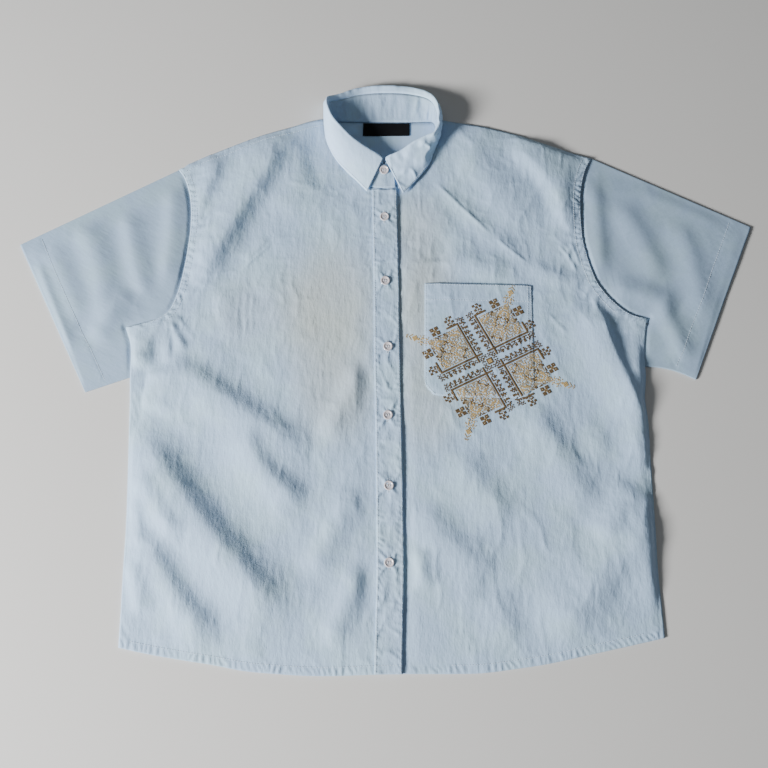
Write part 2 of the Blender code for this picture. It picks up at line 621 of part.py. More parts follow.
def button_mesh(material, cutters):
    """A turned button with a rim, and four thread holes cut through it."""
    profile = (
        (0.0, 0.0), (4.7, 0.0), (BUTTON_RADIUS, 0.8), (BUTTON_RADIUS, 1.6), (5.1, 2.2), (4.2, 2.1),
        (3.4, 1.3), (0.0, 1.3),
    )
    mesh = bpy.data.meshes.new("button")
    mesh.from_pydata(
        [(r * MM, 0.0, z * MM) for r, z in profile], [(k, k + 1) for k in range(len(profile) - 1)], []
    )
    blank = bpy.data.objects.new("button_blank", mesh)
    cutters.objects.link(blank)
    mesh.materials.append(material)
    turn = blank.modifiers.new("turn", "SCREW")
    turn.steps = BUTTON_SIDES
    turn.render_steps = BUTTON_SIDES
    turn.use_merge_vertices = True
    turn.merge_threshold = 1e-5
    turn.use_smooth_shade = False
    turn.use_normal_calculate = True
    bm = bmesh.new()
    for k in range(4):
        angle = math.pi / 4 + k * math.pi / 2
        made = bmesh.ops.create_cone(
            bm, cap_ends=True, segments=6, radius1=BUTTON_HOLE_RADIUS * MM, radius2=BUTTON_HOLE_RADIUS * MM,
            depth=BUTTON_HOLE_DEPTH * MM,
        )
        shift = (BUTTON_HOLE_OFFSET * MM * math.cos(angle), BUTTON_HOLE_OFFSET * MM * math.sin(angle), MM)
        bmesh.ops.translate(bm, verts=made["verts"], vec=shift)
    hole_mesh = bpy.data.meshes.new("button_holes")
    bm.to_mesh(hole_mesh)
    bm.free()
    holes = bpy.data.objects.new("button_holes", hole_mesh)
    cutters.objects.link(holes)
    cut = blank.modifiers.new("holes", "BOOLEAN")
    cut.operation = "DIFFERENCE"
    cut.solver = "EXACT"
    cut.object = holes
    bpy.context.view_layer.update()
    finished = blank.evaluated_get(bpy.context.evaluated_depsgraph_get())
    result = bpy.data.meshes.new_from_object(finished)
    for helper in (blank, holes):
        bpy.data.objects.remove(helper, do_unlink=True)
    return result


def place_buttons(mesh, collection):
    for number, (x, y) in enumerate(BUTTONS, start=1):
        obj = bpy.data.objects.new(f"button_{number}", mesh)
        height = float(right_front_height(np.array([x]), np.array([y]))[0]) + 2 * LAYER
        obj.location = (x * MM, (y - MIDDLE_Y) * MM, height * MM)
        collection.objects.link(obj)
    top = bpy.data.objects.new("button_collar", mesh)
    x, y, z = COLLAR_BUTTON
    top.location = (x * MM, (y - MIDDLE_Y) * MM, z * MM)
    top.rotation_euler = (COLLAR_BUTTON_TILT, 0.0, 0.0)
    collection.objects.link(top)


def back_edges():
    """Bottom, top, left and right edges of the back panel."""
    across = SLEEVE_GRID[0]
    bottom = [(RIGHT_HEM, BACK_HEM_COLUMNS), (LEFT_HEM[1:], BACK_HEM_COLUMNS)]
    top = [
        (RIGHT_SHOULDER, BACK_SHOULDER_COLUMNS), (BACK_NECK, BACK_NECK_COLUMNS),
        (LEFT_SHOULDER[::-1], BACK_SHOULDER_COLUMNS),
    ]
    right_side = [p for p in RIGHT_SIDE if p[1] < BACK_ARMHOLE_RIGHT[0][1]] + [BACK_ARMHOLE_RIGHT[0]]
    left_side = [p for p in LEFT_SIDE if p[1] < BACK_ARMHOLE_LEFT[0][1]] + [BACK_ARMHOLE_LEFT[0]]
    return (
        bottom, top, [(right_side, BACK_SIDE_ROWS), (BACK_ARMHOLE_RIGHT, across)],
        [(left_side, BACK_SIDE_ROWS), (BACK_ARMHOLE_LEFT, across)],
    )


def main():
    clear_scene()
    scene = bpy.context.scene
    shirt = bpy.data.collections.new("embroidered_shirt")
    cutters = bpy.data.collections.new("cutters")
    scene.collection.children.link(shirt)
    scene.collection.children.link(cutters)
    cutters.hide_render = True

    cotton = principled("cotton_blue", (0.47, 0.60, 0.70), 0.85)
    black = principled("label_black", (0.02, 0.02, 0.022), 0.7)
    pearl = principled("pearl_button", (0.80, 0.76, 0.74), 0.3)

    panel("back_panel", BACK_GRID, back_edges(), flat, shirt, cotton)
    edges = (
        plain(*LEFT_HEM), [(LEFT_NECK[::-1], NECK_COLUMNS), (LEFT_SHOULDER[::-1], SHOULDER_COLUMNS)],
        plain(*LEFT_CENTRE), [(LEFT_SIDE, SIDE_ROWS), (LEFT_ARMHOLE, ARMHOLE_ROWS)],
    )
    panel("front_left", FRONT_GRID, edges, left_front_height, shirt, cotton)
    edges = (
        plain(*RIGHT_HEM), [(RIGHT_SHOULDER, SHOULDER_COLUMNS), (RIGHT_NECK, NECK_COLUMNS)],
        [(RIGHT_SIDE, SIDE_ROWS), (RIGHT_ARMHOLE, ARMHOLE_ROWS)], plain(*RIGHT_CENTRE),
    )
    panel("front_right", FRONT_GRID, edges, right_front_height, shirt, cotton)
    placket(shirt, cotton)

    sleeve(
        "sleeve_right", CUFF_RIGHT, SLEEVE_CAP_RIGHT, BACK_ARMHOLE_RIGHT, RIGHT_SIDE + RIGHT_ARMHOLE[1:],
        SLEEVE_RIGHT_FOLDS, 0.0, shirt, cotton,
    )
    sleeve(
        "sleeve_left", CUFF_LEFT, SLEEVE_CAP_LEFT, BACK_ARMHOLE_LEFT, LEFT_SIDE + LEFT_ARMHOLE[1:],
        SLEEVE_LEFT_FOLDS, UNDERARM_BOW, shirt, cotton,
    )

    collar_stand(shirt, cotton)
    collar_fall(shirt, cotton)

    edges = tuple(plain(*edge) for edge in (POCKET_BOTTOM, POCKET_TOP, POCKET_LEFT, POCKET_RIGHT))
    panel("chest_pocket", POCKET_GRID, edges, left_front_height, shirt, cotton, LAYER)

    x, y = LABEL_CENTRE
    half, tall = LABEL_SIZE[0] / 2, LABEL_SIZE[1] / 2
    low, high = ((x - half, y - tall), (x + half, y - tall)), ((x - half, y + tall), (x + half, y + tall))
    edges = (plain(*low), plain(*high), plain(low[0], high[0]), plain(low[1], high[1]))
    panel("neck_label", (4, 2), edges, flat, shirt, black, LAYER)

    place_buttons(button_mesh(pearl, cutters), shirt)


main()
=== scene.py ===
"""The looks of a short-sleeved shirt with a cross-stitch ornament, laid flat on its back.

Tables are in millimetres, and lengths become metres where a mesh is made. Left and right are the
wearer's, so the right front lies on the -X side.
"""

import math

import bmesh
import bpy
import numpy as np
from bpy.props import FloatProperty, FloatVectorProperty, PointerProperty
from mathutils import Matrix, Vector


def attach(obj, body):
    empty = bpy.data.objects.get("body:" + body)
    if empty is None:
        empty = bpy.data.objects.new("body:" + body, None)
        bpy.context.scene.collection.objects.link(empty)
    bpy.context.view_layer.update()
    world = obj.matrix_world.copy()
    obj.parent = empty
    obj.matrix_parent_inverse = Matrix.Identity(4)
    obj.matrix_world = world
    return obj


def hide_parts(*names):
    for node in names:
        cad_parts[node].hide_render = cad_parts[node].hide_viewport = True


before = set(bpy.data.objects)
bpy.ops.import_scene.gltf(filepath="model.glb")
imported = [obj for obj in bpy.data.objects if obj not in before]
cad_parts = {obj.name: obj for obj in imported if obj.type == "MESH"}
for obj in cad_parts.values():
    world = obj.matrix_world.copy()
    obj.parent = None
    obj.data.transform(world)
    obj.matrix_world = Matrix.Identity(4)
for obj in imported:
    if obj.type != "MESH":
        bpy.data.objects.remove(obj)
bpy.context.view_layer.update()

bl_info = {
    "name": "Embroidered Shirt",
    "version": (1, 0, 0),
    "blender": (4, 5, 0),
    "location": "View3D > Sidebar > Shirt",
    "description": "Builds the cloth, seams, buttons and cross-stitch of a shirt that lies flat",
    "category": "Object",
}

MM = 0.001
MIDDLE_Y = 1.0  # the shirt's middle in the tables' y

WALL = 1.0  # the solids' cloth walls
SEAM_GAP = 0.3
LAYER = WALL + SEAM_GAP
BED = LAYER
LAP = 2 * LAYER
BACK_TOP = 0.86
PUFF = 1.4
LEAST_DROP = 0.35  # how far a trough may sink below a wall's lowest top
FOLD_LIFT, FOLD_WIDEN = 2.1, 1.35  # folds are higher and wider here than on the solids
FOLD_POINTS = 13  # points along a fold's crest
FOLD_REACH = 2.6  # spreads to each side after which a fold is flat
FOLD_ENDS = 4.0  # a fold fades over one part in this many at each end
CREASE_LIFT = 1.6
ARMHOLE_FADE = 26.0  # folds fade over this distance from the sleeves' seams
ARMHOLE_FOLD_SHARE = 0.3  # and keep this share on the seam

ARMHOLE_FLAT, ARMHOLE_LAP_BAND = 6.0, 26.0
UNDERARM_END = -32.0
CENTRE_LAP_BAND = 34.0
RIGHT_CENTRE_FADE = (4.0, 20.0)  # folds begin here and are whole this much further on
LEFT_CENTRE_FADE = (2.0, 16.0)
EDGE_ROUND = 15.0
EDGE_FADE = 7.0
HEM_CALM = 26.0
PLACKET_WIDTH = 31.5
PLACKET_OVERHANG = 0.6
PLACKET_TOP_Y = 221.0
COLLAR_CENTRE = (-6.0, 268.0)
COLLAR_REACH = (84.0, 60.0)
COLLAR_FADE = 0.3
POCKET_CALM = (32.0, -60.0, 192.0, 108.0)
POCKET_FADE = 14.0
POCKET_FOLD_SHARE = 0.2
STAND_SHARE = 0.78
ROLL_BACK = 3.4
ROLL_LOFT = 3.4
FALL_SEAM_GAP = 0.4
FALL_HANDLE = 0.4  # how far along its leaf the fall's curve is pulled
FLOOR_CLEAR = 0.9
LABEL_SIZE = (60.0, 18.0)
LABEL_CENTRE = (0.0, 305.4)
LABEL_TAPE = 0.0004  # metres
LABEL_HEIGHT = 1.85
LABEL_SLANT, LABEL_SAG = 0.6, 0.4
LABEL_GRID = (41, 15)

CROSS_WEIGHT = 0.25
RELAX_ROUNDS = 60
FRONT_GRID = (26, 36)
SHOULDER_COLUMNS, NECK_COLUMNS = 17, 9
SIDE_ROWS, ARMHOLE_ROWS = 24, 12
BACK_GRID = (14, 20)
FINE_FRONT = (186, 256)
FINE_BACK = (84, 96)
FRONT_ROWS = ((0, 0.0), (18, 0.04), (134, 0.667), (256, 1.0))  # row and share: close at hem and armhole
FINE_POCKET = (88, 94)
FINE_PLACKET = (20, 380)
SLEEVE_COLUMNS, SLEEVE_RINGS = 104, 132
RING_STOPS = ((0, 0.0), (62, 0.62), (132, 1.0))  # ring and share: close at the armhole

RIGHT_HEM = (
    (-300, -333), (-266, -340), (-230, -346), (-194, -351.5), (-158.6, -357.8), (-122.9, -361),
    (-87.4, -363), (-51.8, -363), (-16.3, -361.6), (17, -361),
)
RIGHT_SIDE = (
    (-300, -333), (-300, -300), (-300.5, -250), (-300.5, -200), (-302, -150), (-304, -100),
    (-306, -50), (-307.5, -20), (-308, 0), (-310, 20), (-317, 40),
)
RIGHT_ARMHOLE = (
    (-317, 40), (-300, 43.5), (-280, 50), (-265, 61), (-257, 80), (-252, 100), (-247, 130),
    (-244, 160), (-244, 185), (-246, 205), (-250, 222), (-256, 237), (-264, 248),
)
RIGHT_SHOULDER = (
    (-264, 248), (-257.4, 251.5), (-242.6, 261.2), (-202.6, 279.4), (-162.2, 296.3),
    (-121.4, 309), (-101, 316.1), (-80.4, 320.4), (-73, 321.5),
)
RIGHT_NECK = (
    (-73, 321.5), (-69.5, 311), (-67.8, 300), (-65.6, 284), (-61, 268.5), (-54.3, 254),
    (-44.8, 241.8), (-33, 233), (-19.5, 226.5), (-4, 224.5), (13.2, 224.5),
)
RIGHT_CENTRE = (
    (17, -361), (17.5, -330), (19.3, -250), (19.2, -200), (18, -100), (16, 0), (15, 100),
    (13.2, 200), (13.2, 224.5),
)
LEFT_HEM = (
    (-12, -361.4), (18, -361), (72.5, -361), (108.1, -360), (143.8, -355.7), (179.6, -350.4),
    (215.6, -343), (251.7, -335.5), (311.9, -322.6),
)
LEFT_SIDE = (
    (311.9, -322.6), (311, -290), (309.5, -250), (310, -200), (310, -120), (310.5, -80),
    (308.5, -50), (309.5, -35), (311, -20), (311, 0), (313, 20), (316, 40), (320, 51.5),
)
LEFT_ARMHOLE = (
    (320, 51.5), (308, 53), (295, 58), (280, 70), (268, 84), (259, 98), (254, 112), (249, 130),
    (245, 150), (243.5, 170), (243, 190), (244, 210), (247, 228), (253, 248), (261.6, 264),
)
LEFT_SHOULDER = (
    (261.6, 264), (247.2, 268.2), (207, 283.6), (166.5, 297.7), (125.7, 309), (84.6, 316.1),
    (66, 320.5),
)
LEFT_NECK = (
    (66, 320.5), (62.2, 306), (61.7, 295), (59.2, 281), (53.8, 265), (45.5, 250.5), (35, 239),
    (22.3, 230), (10, 225.6), (-3, 224.5), (-12, 224.5),
)
LEFT_CENTRE = ((-12, -361.4), (-12, 224.5))
BACK_NECK = ((-73, 321.5), (-66, 318.5), (-30, 318), (30, 318), (58, 318.5), (66, 320.5))
BACK_ARMHOLE_RIGHT = (
    (-306.3, -22), (-297, -2), (-281, 28), (-264, 60), (-252, 100), (-247, 140), (-245, 180),
    (-250, 220), (-264, 248),
)
BACK_ARMHOLE_LEFT = (
    (311, -9), (300, 14), (284, 44), (268, 76), (256, 110), (248, 150), (246, 190), (251, 228),
    (261.6, 264),
)
SLEEVE_CAP_RIGHT = (
    (-264.6, 248.4), (-249, 234), (-242, 214), (-237, 190), (-236, 165), (-239, 130), (-244, 100),
    (-250, 78), (-261, 54), (-279, 38), (-296, 16), (-306.8, -21.6),
)
SLEEVE_CAP_LEFT = (
    (262.2, 264.4), (246, 246), (239, 228), (235, 206), (234, 188), (235, 168), (238, 146),
    (244, 122), (251, 96), (262, 74), (278, 58), (298, 38), (311.5, -8.6),
)
CUFF_RIGHT = ((-456, 147.5), (-360, -40.5))
CUFF_LEFT = ((456, 171), (371, -25))
SLEEVE_PUFF = 1.2
SLEEVE_RISE_BAND = 6.0
SLEEVE_EDGE_CALM = 0.12
CUFF_CALM = 0.06
CUFF_HEM = 27.0
SEAM_OFFSET = 0.6
UNDERARM_BOW = 4.0

POCKET_TOP = ((47, 96), (178.5, 93))
POCKET_LEFT = ((45.5, -22), (47, 96))
POCKET_RIGHT = ((177, -24), (178.5, 93))
POCKET_BOTTOM = (
    (45.5, -22), (47.5, -33), (53, -40), (62, -45), (110, -47), (161, -47), (170, -42.5),
    (175.5, -34), (177, -24),
)
POCKET_RIM = POCKET_LEFT[::-1] + POCKET_BOTTOM[1:] + POCKET_RIGHT[1:]

FOLD_COLUMNS = ("x1", "y1", "x2", "y2", "x3", "y3", "left_spread", "right_spread", "rise")
RIGHT_FOLDS = (
    (-248, 116, -236, 190, -206, 280, 12, 8, 2.6),
    (-238, 80, -190, 178, -118, 304, 24, 11, 5.6),
    (-140, 180, -113, 238, -92, 300, 22, 20, 1.6),
    (-176, 124, -164, 137, -146, 158, 5, 4, 0.8),
    (-260, 66, -256, 36, -242, 4, 5, 5, 1.1),
    (-268, 60, -268, 30, -262, -8, 5, 6, 1.1),
    (-276, 56, -286, 26, -298, -14, 8, 8, 2.4),
    (-294, 48, -304, 20, -304, -14, 7, 7, 1.8),
    (-288, -6, -297, -50, -301, -88, 6, 5, -2.2),
    (-270, -4, -266, -30, -276, -70, 14, 18, 2.0),
    (-270, 8, -204, -44, -84, -120, 14, 24, 4.2),
    (-300, -74, -209, -200, -98, -312, 16, 26, 6.0),
    (-170, -80, -142, -136, -88, -172, 11, 18, 3.8),
    (-282, -196, -244, -268, -186, -332, 12, 16, 3.8),
    (-292, -130, -262, -184, -228, -214, 9, 12, 2.6),
    (-28, 0, -52, -60, -82, -97, 14, 10, 2.4),
    (-34, -150, -62, -206, -92, -258, 13, 12, 2.4),
    (-26, -240, -46, -285, -66, -334, 12, 11, 2.6),
    (-300, -166, -288, -186, -282, -226, 8, 8, 2.0),
    (-298, -236, -284, -262, -276, -300, 9, 7, 2.2),
    (-205, 92, -196, 60, -190, 20, 12, 12, 1.2),
)
LEFT_FOLDS = (
    (148, 286, 204, 236, 232, 152, 30, 10, 4.6),
    (84, 278, 134, 232, 184, 160, 24, 18, 2.4),
    (52, 240, 110, 180, 178, 118, 9, 7, 0.9),
    (20, 162, 54, 146, 66, 122, 12, 12, -1.4),
    (66, 134, 110, 120, 152, 110, 14, 12, 1.8),
    (172, 124, 206, 106, 246, 97, 8, 10, 1.4),
    (252, 82, 272, 8, 304, -82, 7, 22, 4.6),
    (302, 30, 299, -60, 298, -150, 8, 14, 2.8),
    (298, -140, 297, -220, 300, -300, 8, 15, 2.6),
    (164, -50, 206, -122, 240, -188, 12, 18, 2.3),
    (80, -112, 112, -155, 146, -198, 12, 18, 2.0),
    (34, -170, 76, -220, 124, -262, 12, 18, 2.2),
    (300, -172, 262, -238, 172, -328, 18, 24, 4.0),
    (36, -222, 40, -246, 46, -272, 10, 8, 2.0),
    (290, -146, 266, -182, 240, -218, 10, 14, 2.2),
    (120, -268, 128, -300, 140, -330, 14, 14, 1.4),
)
SLEEVE_RIGHT_FOLDS = (
    (-270, 240, -267, 160, -272, 76, 12, 9, 1.9),
    (-424, 152, -398, 106, -368, 44, 12, 9, 1.4),
    (-326, 200, -308, 120, -288, 64, 12, 9, 2.0),
    (-360, 20, -336, 52, -306, 90, 10, 12, 2.2),
    (-392, 190, -356, 122, -338, 30, 14, 12, 2.2),
    (-440, 130, -414, 70, -376, 0, 9, 10, 1.6),
)
SLEEVE_LEFT_FOLDS = (
    (258, 244, 263, 170, 262, 96, 9, 10, 1.9),
    (268, 84, 308, 84, 358, 58, 13, 11, 2.2),
    (326, 70, 348, 36, 360, -6, 10, 9, 1.8),
    (308, 232, 360, 208, 430, 172, 8, 9, 1.2),
    (284, 208, 318, 150, 336, 90, 12, 13, 1.8),
    (352, 186, 378, 120, 384, 40, 12, 12, 1.6),
)
# Creases too small for the solids, in the folds' columns.
RIGHT_CREASES = (
    (-182, 112, -164, 128, -140, 152, 1.6, 2.2, 0.7),
    (-214, 104, -200, 110, -184, 114, 2.0, 2.4, 0.5),
    (-262, 52, -254, 30, -238, 8, 1.8, 2.4, 0.9),
    (-268, 50, -263, 26, -262, 4, 1.8, 2.0, 0.8),
    (-256, 56, -246, 42, -230, 22, 1.8, 2.4, 0.6),
    (-160, 86, -164, 60, -160, 30, 2.0, 2.0, 0.35),
    (-169, 90, -172, 62, -170, 26, 2.0, 2.0, 0.35),
    (-178, 84, -181, 58, -177, 34, 2.0, 2.0, 0.3),
)
LEFT_CREASES = (
    (56, 238, 92, 198, 134, 156, 1.8, 2.4, 0.9),
    (134, 156, 152, 140, 178, 120, 1.8, 2.4, 0.7),
    (196, 60, 208, 44, 224, 30, 1.6, 2.2, 0.6),
    (236, 106, 226, 128, 212, 148, 2.2, 2.2, 0.7),
    (238, 118, 234, 134, 226, 152, 2.0, 2.0, 0.6),
)

COLLAR_COLUMNS = (
    "seam_x", "seam_y", "seam_z", "roll_x", "roll_y", "roll_z", "edge_x", "edge_y", "edge_z", "bulge",
)
COLLAR = (
    (-4, 222.5, 4.6, -5, 260.5, 12.2, -24.5, 217, 6.6, 0.6),
    (-20, 224.5, 4.4, -13, 266, 13.6, -31, 224, 6.2, 0.8),
    (-34, 231, 4.0, -22, 271, 15.4, -40, 234, 5.8, 1.2),
    (-46, 240, 3.6, -32, 277, 18, -51, 245.5, 5.6, 1.8),
    (-56, 253, 3.3, -44, 285, 22, -61, 257, 5.4, 2.4),
    (-63, 268, 3.1, -56, 296.5, 26, -70, 272, 5.2, 3.0),
    (-67.5, 284, 2.9, -65, 306.5, 29, -76.5, 288, 5.2, 2.6),
    (-69.8, 300, 2.8, -70.5, 317, 30, -79.5, 306, 5.0, 1.6),
    (-70.8, 311.5, 2.7, -74, 329.5, 27.5, -80.5, 326, 4.0, 1.4),
    (-66, 316.4, 2.1, -73.5, 339, 24, -79, 343, 1.6, 2.0),
    (-58, 316.4, 1.9, -65.5, 344.5, 19, -66, 340, 0.7, 5.0),
    (-49, 316.2, 1.8, -56.5, 349.5, 15.5, -54, 334, 0.6, 7.0),
    (-40, 316, 1.8, -46.5, 355.5, 12.5, -43, 328, 0.6, 4.0),
    (-30, 316, 1.8, -35, 360.5, 10, -32, 323, 0.6, 2.0),
    (-15, 316, 1.8, -16, 363.3, 10, -15, 322.4, 0.6, 1.0),
    (0, 316, 1.8, 2, 363.7, 10.2, 1, 322.2, 0.6, 1.0),
    (15, 316, 1.8, 20, 363, 10.4, 17, 322.4, 0.6, 1.0),
    (30, 316, 1.8, 37, 359.5, 11.4, 33, 323, 0.6, 1.0),
    (43, 316.2, 1.8, 50, 353.5, 14, 46, 325, 0.6, 1.6),
    (53, 316.4, 1.9, 57.5, 345, 18, 56, 331.5, 0.7, 2.4),
    (60.5, 315, 2.1, 61.5, 333, 24, 66, 336, 1.6, 2.4),
    (63.6, 306.5, 2.7, 64.5, 318, 28, 69.5, 320, 4.0, 1.6),
    (63.5, 295, 2.8, 64.5, 303, 28.5, 69, 303, 5.0, 1.6),
    (61, 280, 2.9, 59.5, 291, 26, 65.5, 286, 5.2, 2.4),
    (55.5, 264, 3.0, 50, 286, 23, 60, 271, 5.4, 2.6),
    (47, 249, 3.1, 39, 281.5, 20, 54.5, 256, 5.6, 2.4),
    (36, 237, 3.1, 29, 276, 17.5, 46, 242.5, 5.8, 1.8),
    (23, 228, 3.1, 19, 269.5, 15, 37, 231.5, 6.0, 1.2),
    (10, 226, 3.0, 9, 265, 12.8, 28.5, 222, 6.2, 0.8),
    (-3, 225.6, 2.9, -0.5, 261.5, 10.7, 21, 214.5, 6.6, 0.6),
)
# The stand's ends, past the fall: the right end's seam and top, then the left end's.
STAND_ENDS = (
    ((11.5, 223.5, 4.7), (10.5, 250.5, 10.7)),
    ((-10, 226.8, 2.9), (-9, 251, 8.6)),
)
STAND_END_STEPS, STAND_ROWS = 8, 13
BACK_STATIONS = (9, 20)  # the collar's stations that lie behind the neck
COLLAR_STEPS = 9  # fine columns between two stations
ROLL_ROWS, LEAF_ROWS = 10, 24

BUTTONS = ((-2.5, 183.2), (-1.5, 98.9), (1.6, 15.2), (1.6, -68.9), (2.6, -152.3), (2.9, -239.9))
COLLAR_BUTTON = (-2.7, 244.6, 9.75)
COLLAR_BUTTON_TILT = math.radians(11.3)
BUTTON_TURNS = (4, -7, 3, 8, -5, 2, 6)  # degrees

HEM_WIDTH = 9.5
ARMHOLE_WIDTH = 8.0
STITCH_LIFT, STITCH_GAP = 0.05, 0.5
# A thread's cross-sections: their place along it, and their rise and width as shares of its own.
THREAD_RING_COLUMNS = ("share", "rise", "wide")
THREAD_RINGS = ((0.0, 0.0, 0.6), (0.3, 0.6, 1.0), (0.7, 0.6, 1.0), (1.0, 0.0, 0.6))

# Puckers across seams: where they are strongest, their width, distance, depth and lean.
GATHER_COLUMNS = ("start", "spread", "pitch", "depth", "lean")
GATHERS = {
    "hem": (4.75, 5.0, 6.8, 0.8, 0.25),
    "armhole": (4.0, 5.0, 7.4, 1.6, 0.1),
    "armhole_far": (14.4, 15.0, 18.0, 1.0, 0.2),
    "side": (3.0, 8.0, 19.0, 0.6, 0.5),
    "right_centre": (3.0, 8.0, 12.0, 0.3, 0.5),
    "placket_left": (3.5, 5.0, 9.5, 0.55, 0.7),
    "placket_right": (3.5, 5.0, 8.3, 0.5, -0.6),
    "pocket_top": (15.0, 8.0, 15.0, 0.4, 0.5),
    "pocket_rim": (4.0, 5.0, 9.0, 0.4, 0.3),
    "cuff": (27.0, 7.0, 8.5, 0.2, 0.4),
}
GATHER_DRIFT, GATHER_UNEVEN = 0.8, 0.35  # how uneven their distances and depths are
# Thicker turned-in edges: their width and how much they stand up.
TURNED = {
    "hem": (9.5, 0.4), "armhole": (8.0, 0.25), "placket": (2.2, 0.3), "pocket_top": (21.0, 0.35),
    "pocket_rim": (2.0, 0.25), "cuff": (27.0, 0.3),
}
# Edges that curve down: over which band and how far.
ROLLED = {"side": (3.0, 0.6), "hem": (2.4, 0.3), "placket": (1.8, 0.35), "pocket": (5.0, 0.75)}
# Soft lumps: their width and length, how they slant, and their height.
LUMP_COLUMNS = ("wide", "tall", "slant_x", "slant_y", "height")
LUMPS = {
    "back": (30, 50, 0, 0, 0.1),
    "front": (52, 84, 52 / 170, 0, 0.9),
    "front_small": (21, 34, 0, 34 / 80, 0.55),
    "placket": (8, 11, 0, 0, 0.7),
    "placket_small": (4, 5, 0, 0, 0.3),
    "pocket": (19, 30, 0, 0, 0.5),
    "sleeve": (40, 40, 0, 0, 0.35),
}
# Sharp-crested creases of worn cotton: their size and height.
CRUMPLES = {
    "front": (23, 0.85), "front_small": (10, 0.5), "placket": (13, 1.1), "pocket": (17, 0.7),
    "sleeve": (26, 0.25), "collar": (9, 1.0),
}
CALM_COLUMNS = ("hem", "armhole", "least_by_collar", "least_by_seams", "armhole_edge", "least_on_edge")
CALM = dict(zip(CALM_COLUMNS, (20.0, 16.0, 0.25, 0.3, 4.0, 0.3)))  # where a front's relief is low
RIGHT_CRUMPLED, LEFT_CRUMPLED = 0.8, 1.0
PULL_COLUMNS = ("turn", "length")
BUTTON_PULLS = ((38, 21), (-40, 17), (142, 18), (-138, 23))  # creases that run from each button
PULL_START, PULL_HEIGHT, PULL_WIDTH, PULL_STRAY = 4.0, 1.7, 1.7, 9.0
PLACKET_EDGE_CALM = 3.5
PLACKET_LEAST, POCKET_LEAST = 0.4, 0.3  # how far their troughs may sink
POCKET_PUFF, POCKET_PUFF_BANDS = 0.9, (30.0, 70.0)

ORNAMENT_CENTRE = (124.4, -2.5)
ORNAMENT_TURN = math.radians(26)
ORNAMENT_LEAN = math.radians(2.5)


# Settings that a user may change.


def length(label, about, default):
    return FloatProperty(name=label, description=about, default=default, min=0.0, unit="LENGTH", precision=5)


def colour(label, about, default):
    return FloatVectorProperty(name=label, description=about, default=default, size=3, min=0, max=1, subtype="COLOR")


class ShirtSizes(bpy.types.PropertyGroup):
    cloth: length("Cloth", "Thickness of the cloth shells", 0.0008)
    stitch: length("Stitch", "Length of one seam stitch", 0.0026)
    cross: length("Cross-stitch", "Pitch of the cross-stitch grid", 0.0015)
    thread: length("Thread", "Width of a sewing thread", 0.0005)


class ShirtColours(bpy.types.PropertyGroup):
    cotton: colour("Cotton", "The cloth's light blue", (0.40, 0.55, 0.74))
    cool: colour("Cool tint", "Greener blue of worn areas", (0.43, 0.60, 0.72))
    warm: colour("Warm tint", "Beige tint that has soaked into the fronts", (0.50, 0.53, 0.47))
    thread: colour("Thread", "Sewing thread", (0.66, 0.76, 0.86))
    brown: colour("Brown floss", "Dark cross-stitch thread", (0.11, 0.066, 0.022))
    tan: colour("Tan floss", "Middle cross-stitch thread", (0.40, 0.31, 0.17))
    gold: colour("Gold floss", "Light cross-stitch thread", (0.55, 0.38, 0.14))
    pearl: colour("Buttons", "Pearly button face", (0.62, 0.56, 0.57))
    label: colour("Label", "Neck label", (0.004, 0.004, 0.005))
    floor: colour("Floor", "Plain floor", (0.62, 0.61, 0.59))


class ShirtStudio(bpy.types.PropertyGroup):
    lens: FloatProperty(name="Lens", description="Camera lens in millimetres", default=40.0)
    tilt: FloatProperty(
        name="Tilt", description="Camera tilt from straight down", default=math.radians(13), subtype="ANGLE"
    )
    distance: length("Distance", "From the camera to the shirt", 1.024)
    key: FloatProperty(name="Key light", description="Power of the main light", default=175.0, unit="POWER")
    fill: FloatProperty(name="Fill light", description="Power of the overhead light", default=4.0, unit="POWER")
    sky: FloatProperty(name="Sky", description="Strength of the even light from all round", default=0.13)


def sizes():
    return bpy.context.scene.shirt_sizes


def colours():
    return bpy.context.scene.shirt_colours


# Numbers along lines and over patches.


def smooth(t):
    t = np.clip(t, 0.0, 1.0)
    return t * t * (3.0 - 2.0 * t)


def bell(t):
    return np.exp(-(t**2))


def noise(x, y, seed):
    """Smooth noise from -1 to 1, with one feature about every unit."""
    table = np.random.default_rng(seed).uniform(-1, 1, (64, 64))
    ix, iy = np.floor(x).astype(int), np.floor(y).astype(int)
    fx, fy = smooth(x - ix), smooth(y - iy)
    a, b = table[iy % 64, ix % 64], table[iy % 64, (ix + 1) % 64]
    c, d = table[(iy + 1) % 64, ix % 64], table[(iy + 1) % 64, (ix + 1) % 64]
    return (a + (b - a) * fx) * (1 - fy) + (c + (d - c) * fx) * fy


def spline(rows, at):
    """Catmull-Rom through a table's rows, at fractional row numbers."""
    rows = np.asarray(rows, float)
    padded = np.concatenate([[2 * rows[0] - rows[1]], rows, [2 * rows[-1] - rows[-2]]])
    k = np.clip(np.floor(at).astype(int), 0, len(rows) - 2)
    t = (at - k).reshape((-1,) + (1,) * (rows.ndim - 1))
    p, q, r, s = (padded[k + n] for n in range(4))
    return q + t / 2 * (r - p + t * (2 * p - 5 * q + 4 * r - s + t * (3 * (q - r) + s - p)))


def rounded(points, steps=6):
    """A smooth line through the points of an outline."""
    return spline(points, np.linspace(0, len(points) - 1, (len(points) - 1) * steps + 1))


def line_length(points):
    return np.linalg.norm(np.diff(points, axis=0), axis=1).sum()


def unit(vectors):
    return vectors / np.linalg.norm(vectors, axis=-1, keepdims=True)


def upright(points):
    return np.tile((0.0, 0.0, 1.0), (len(points), 1))


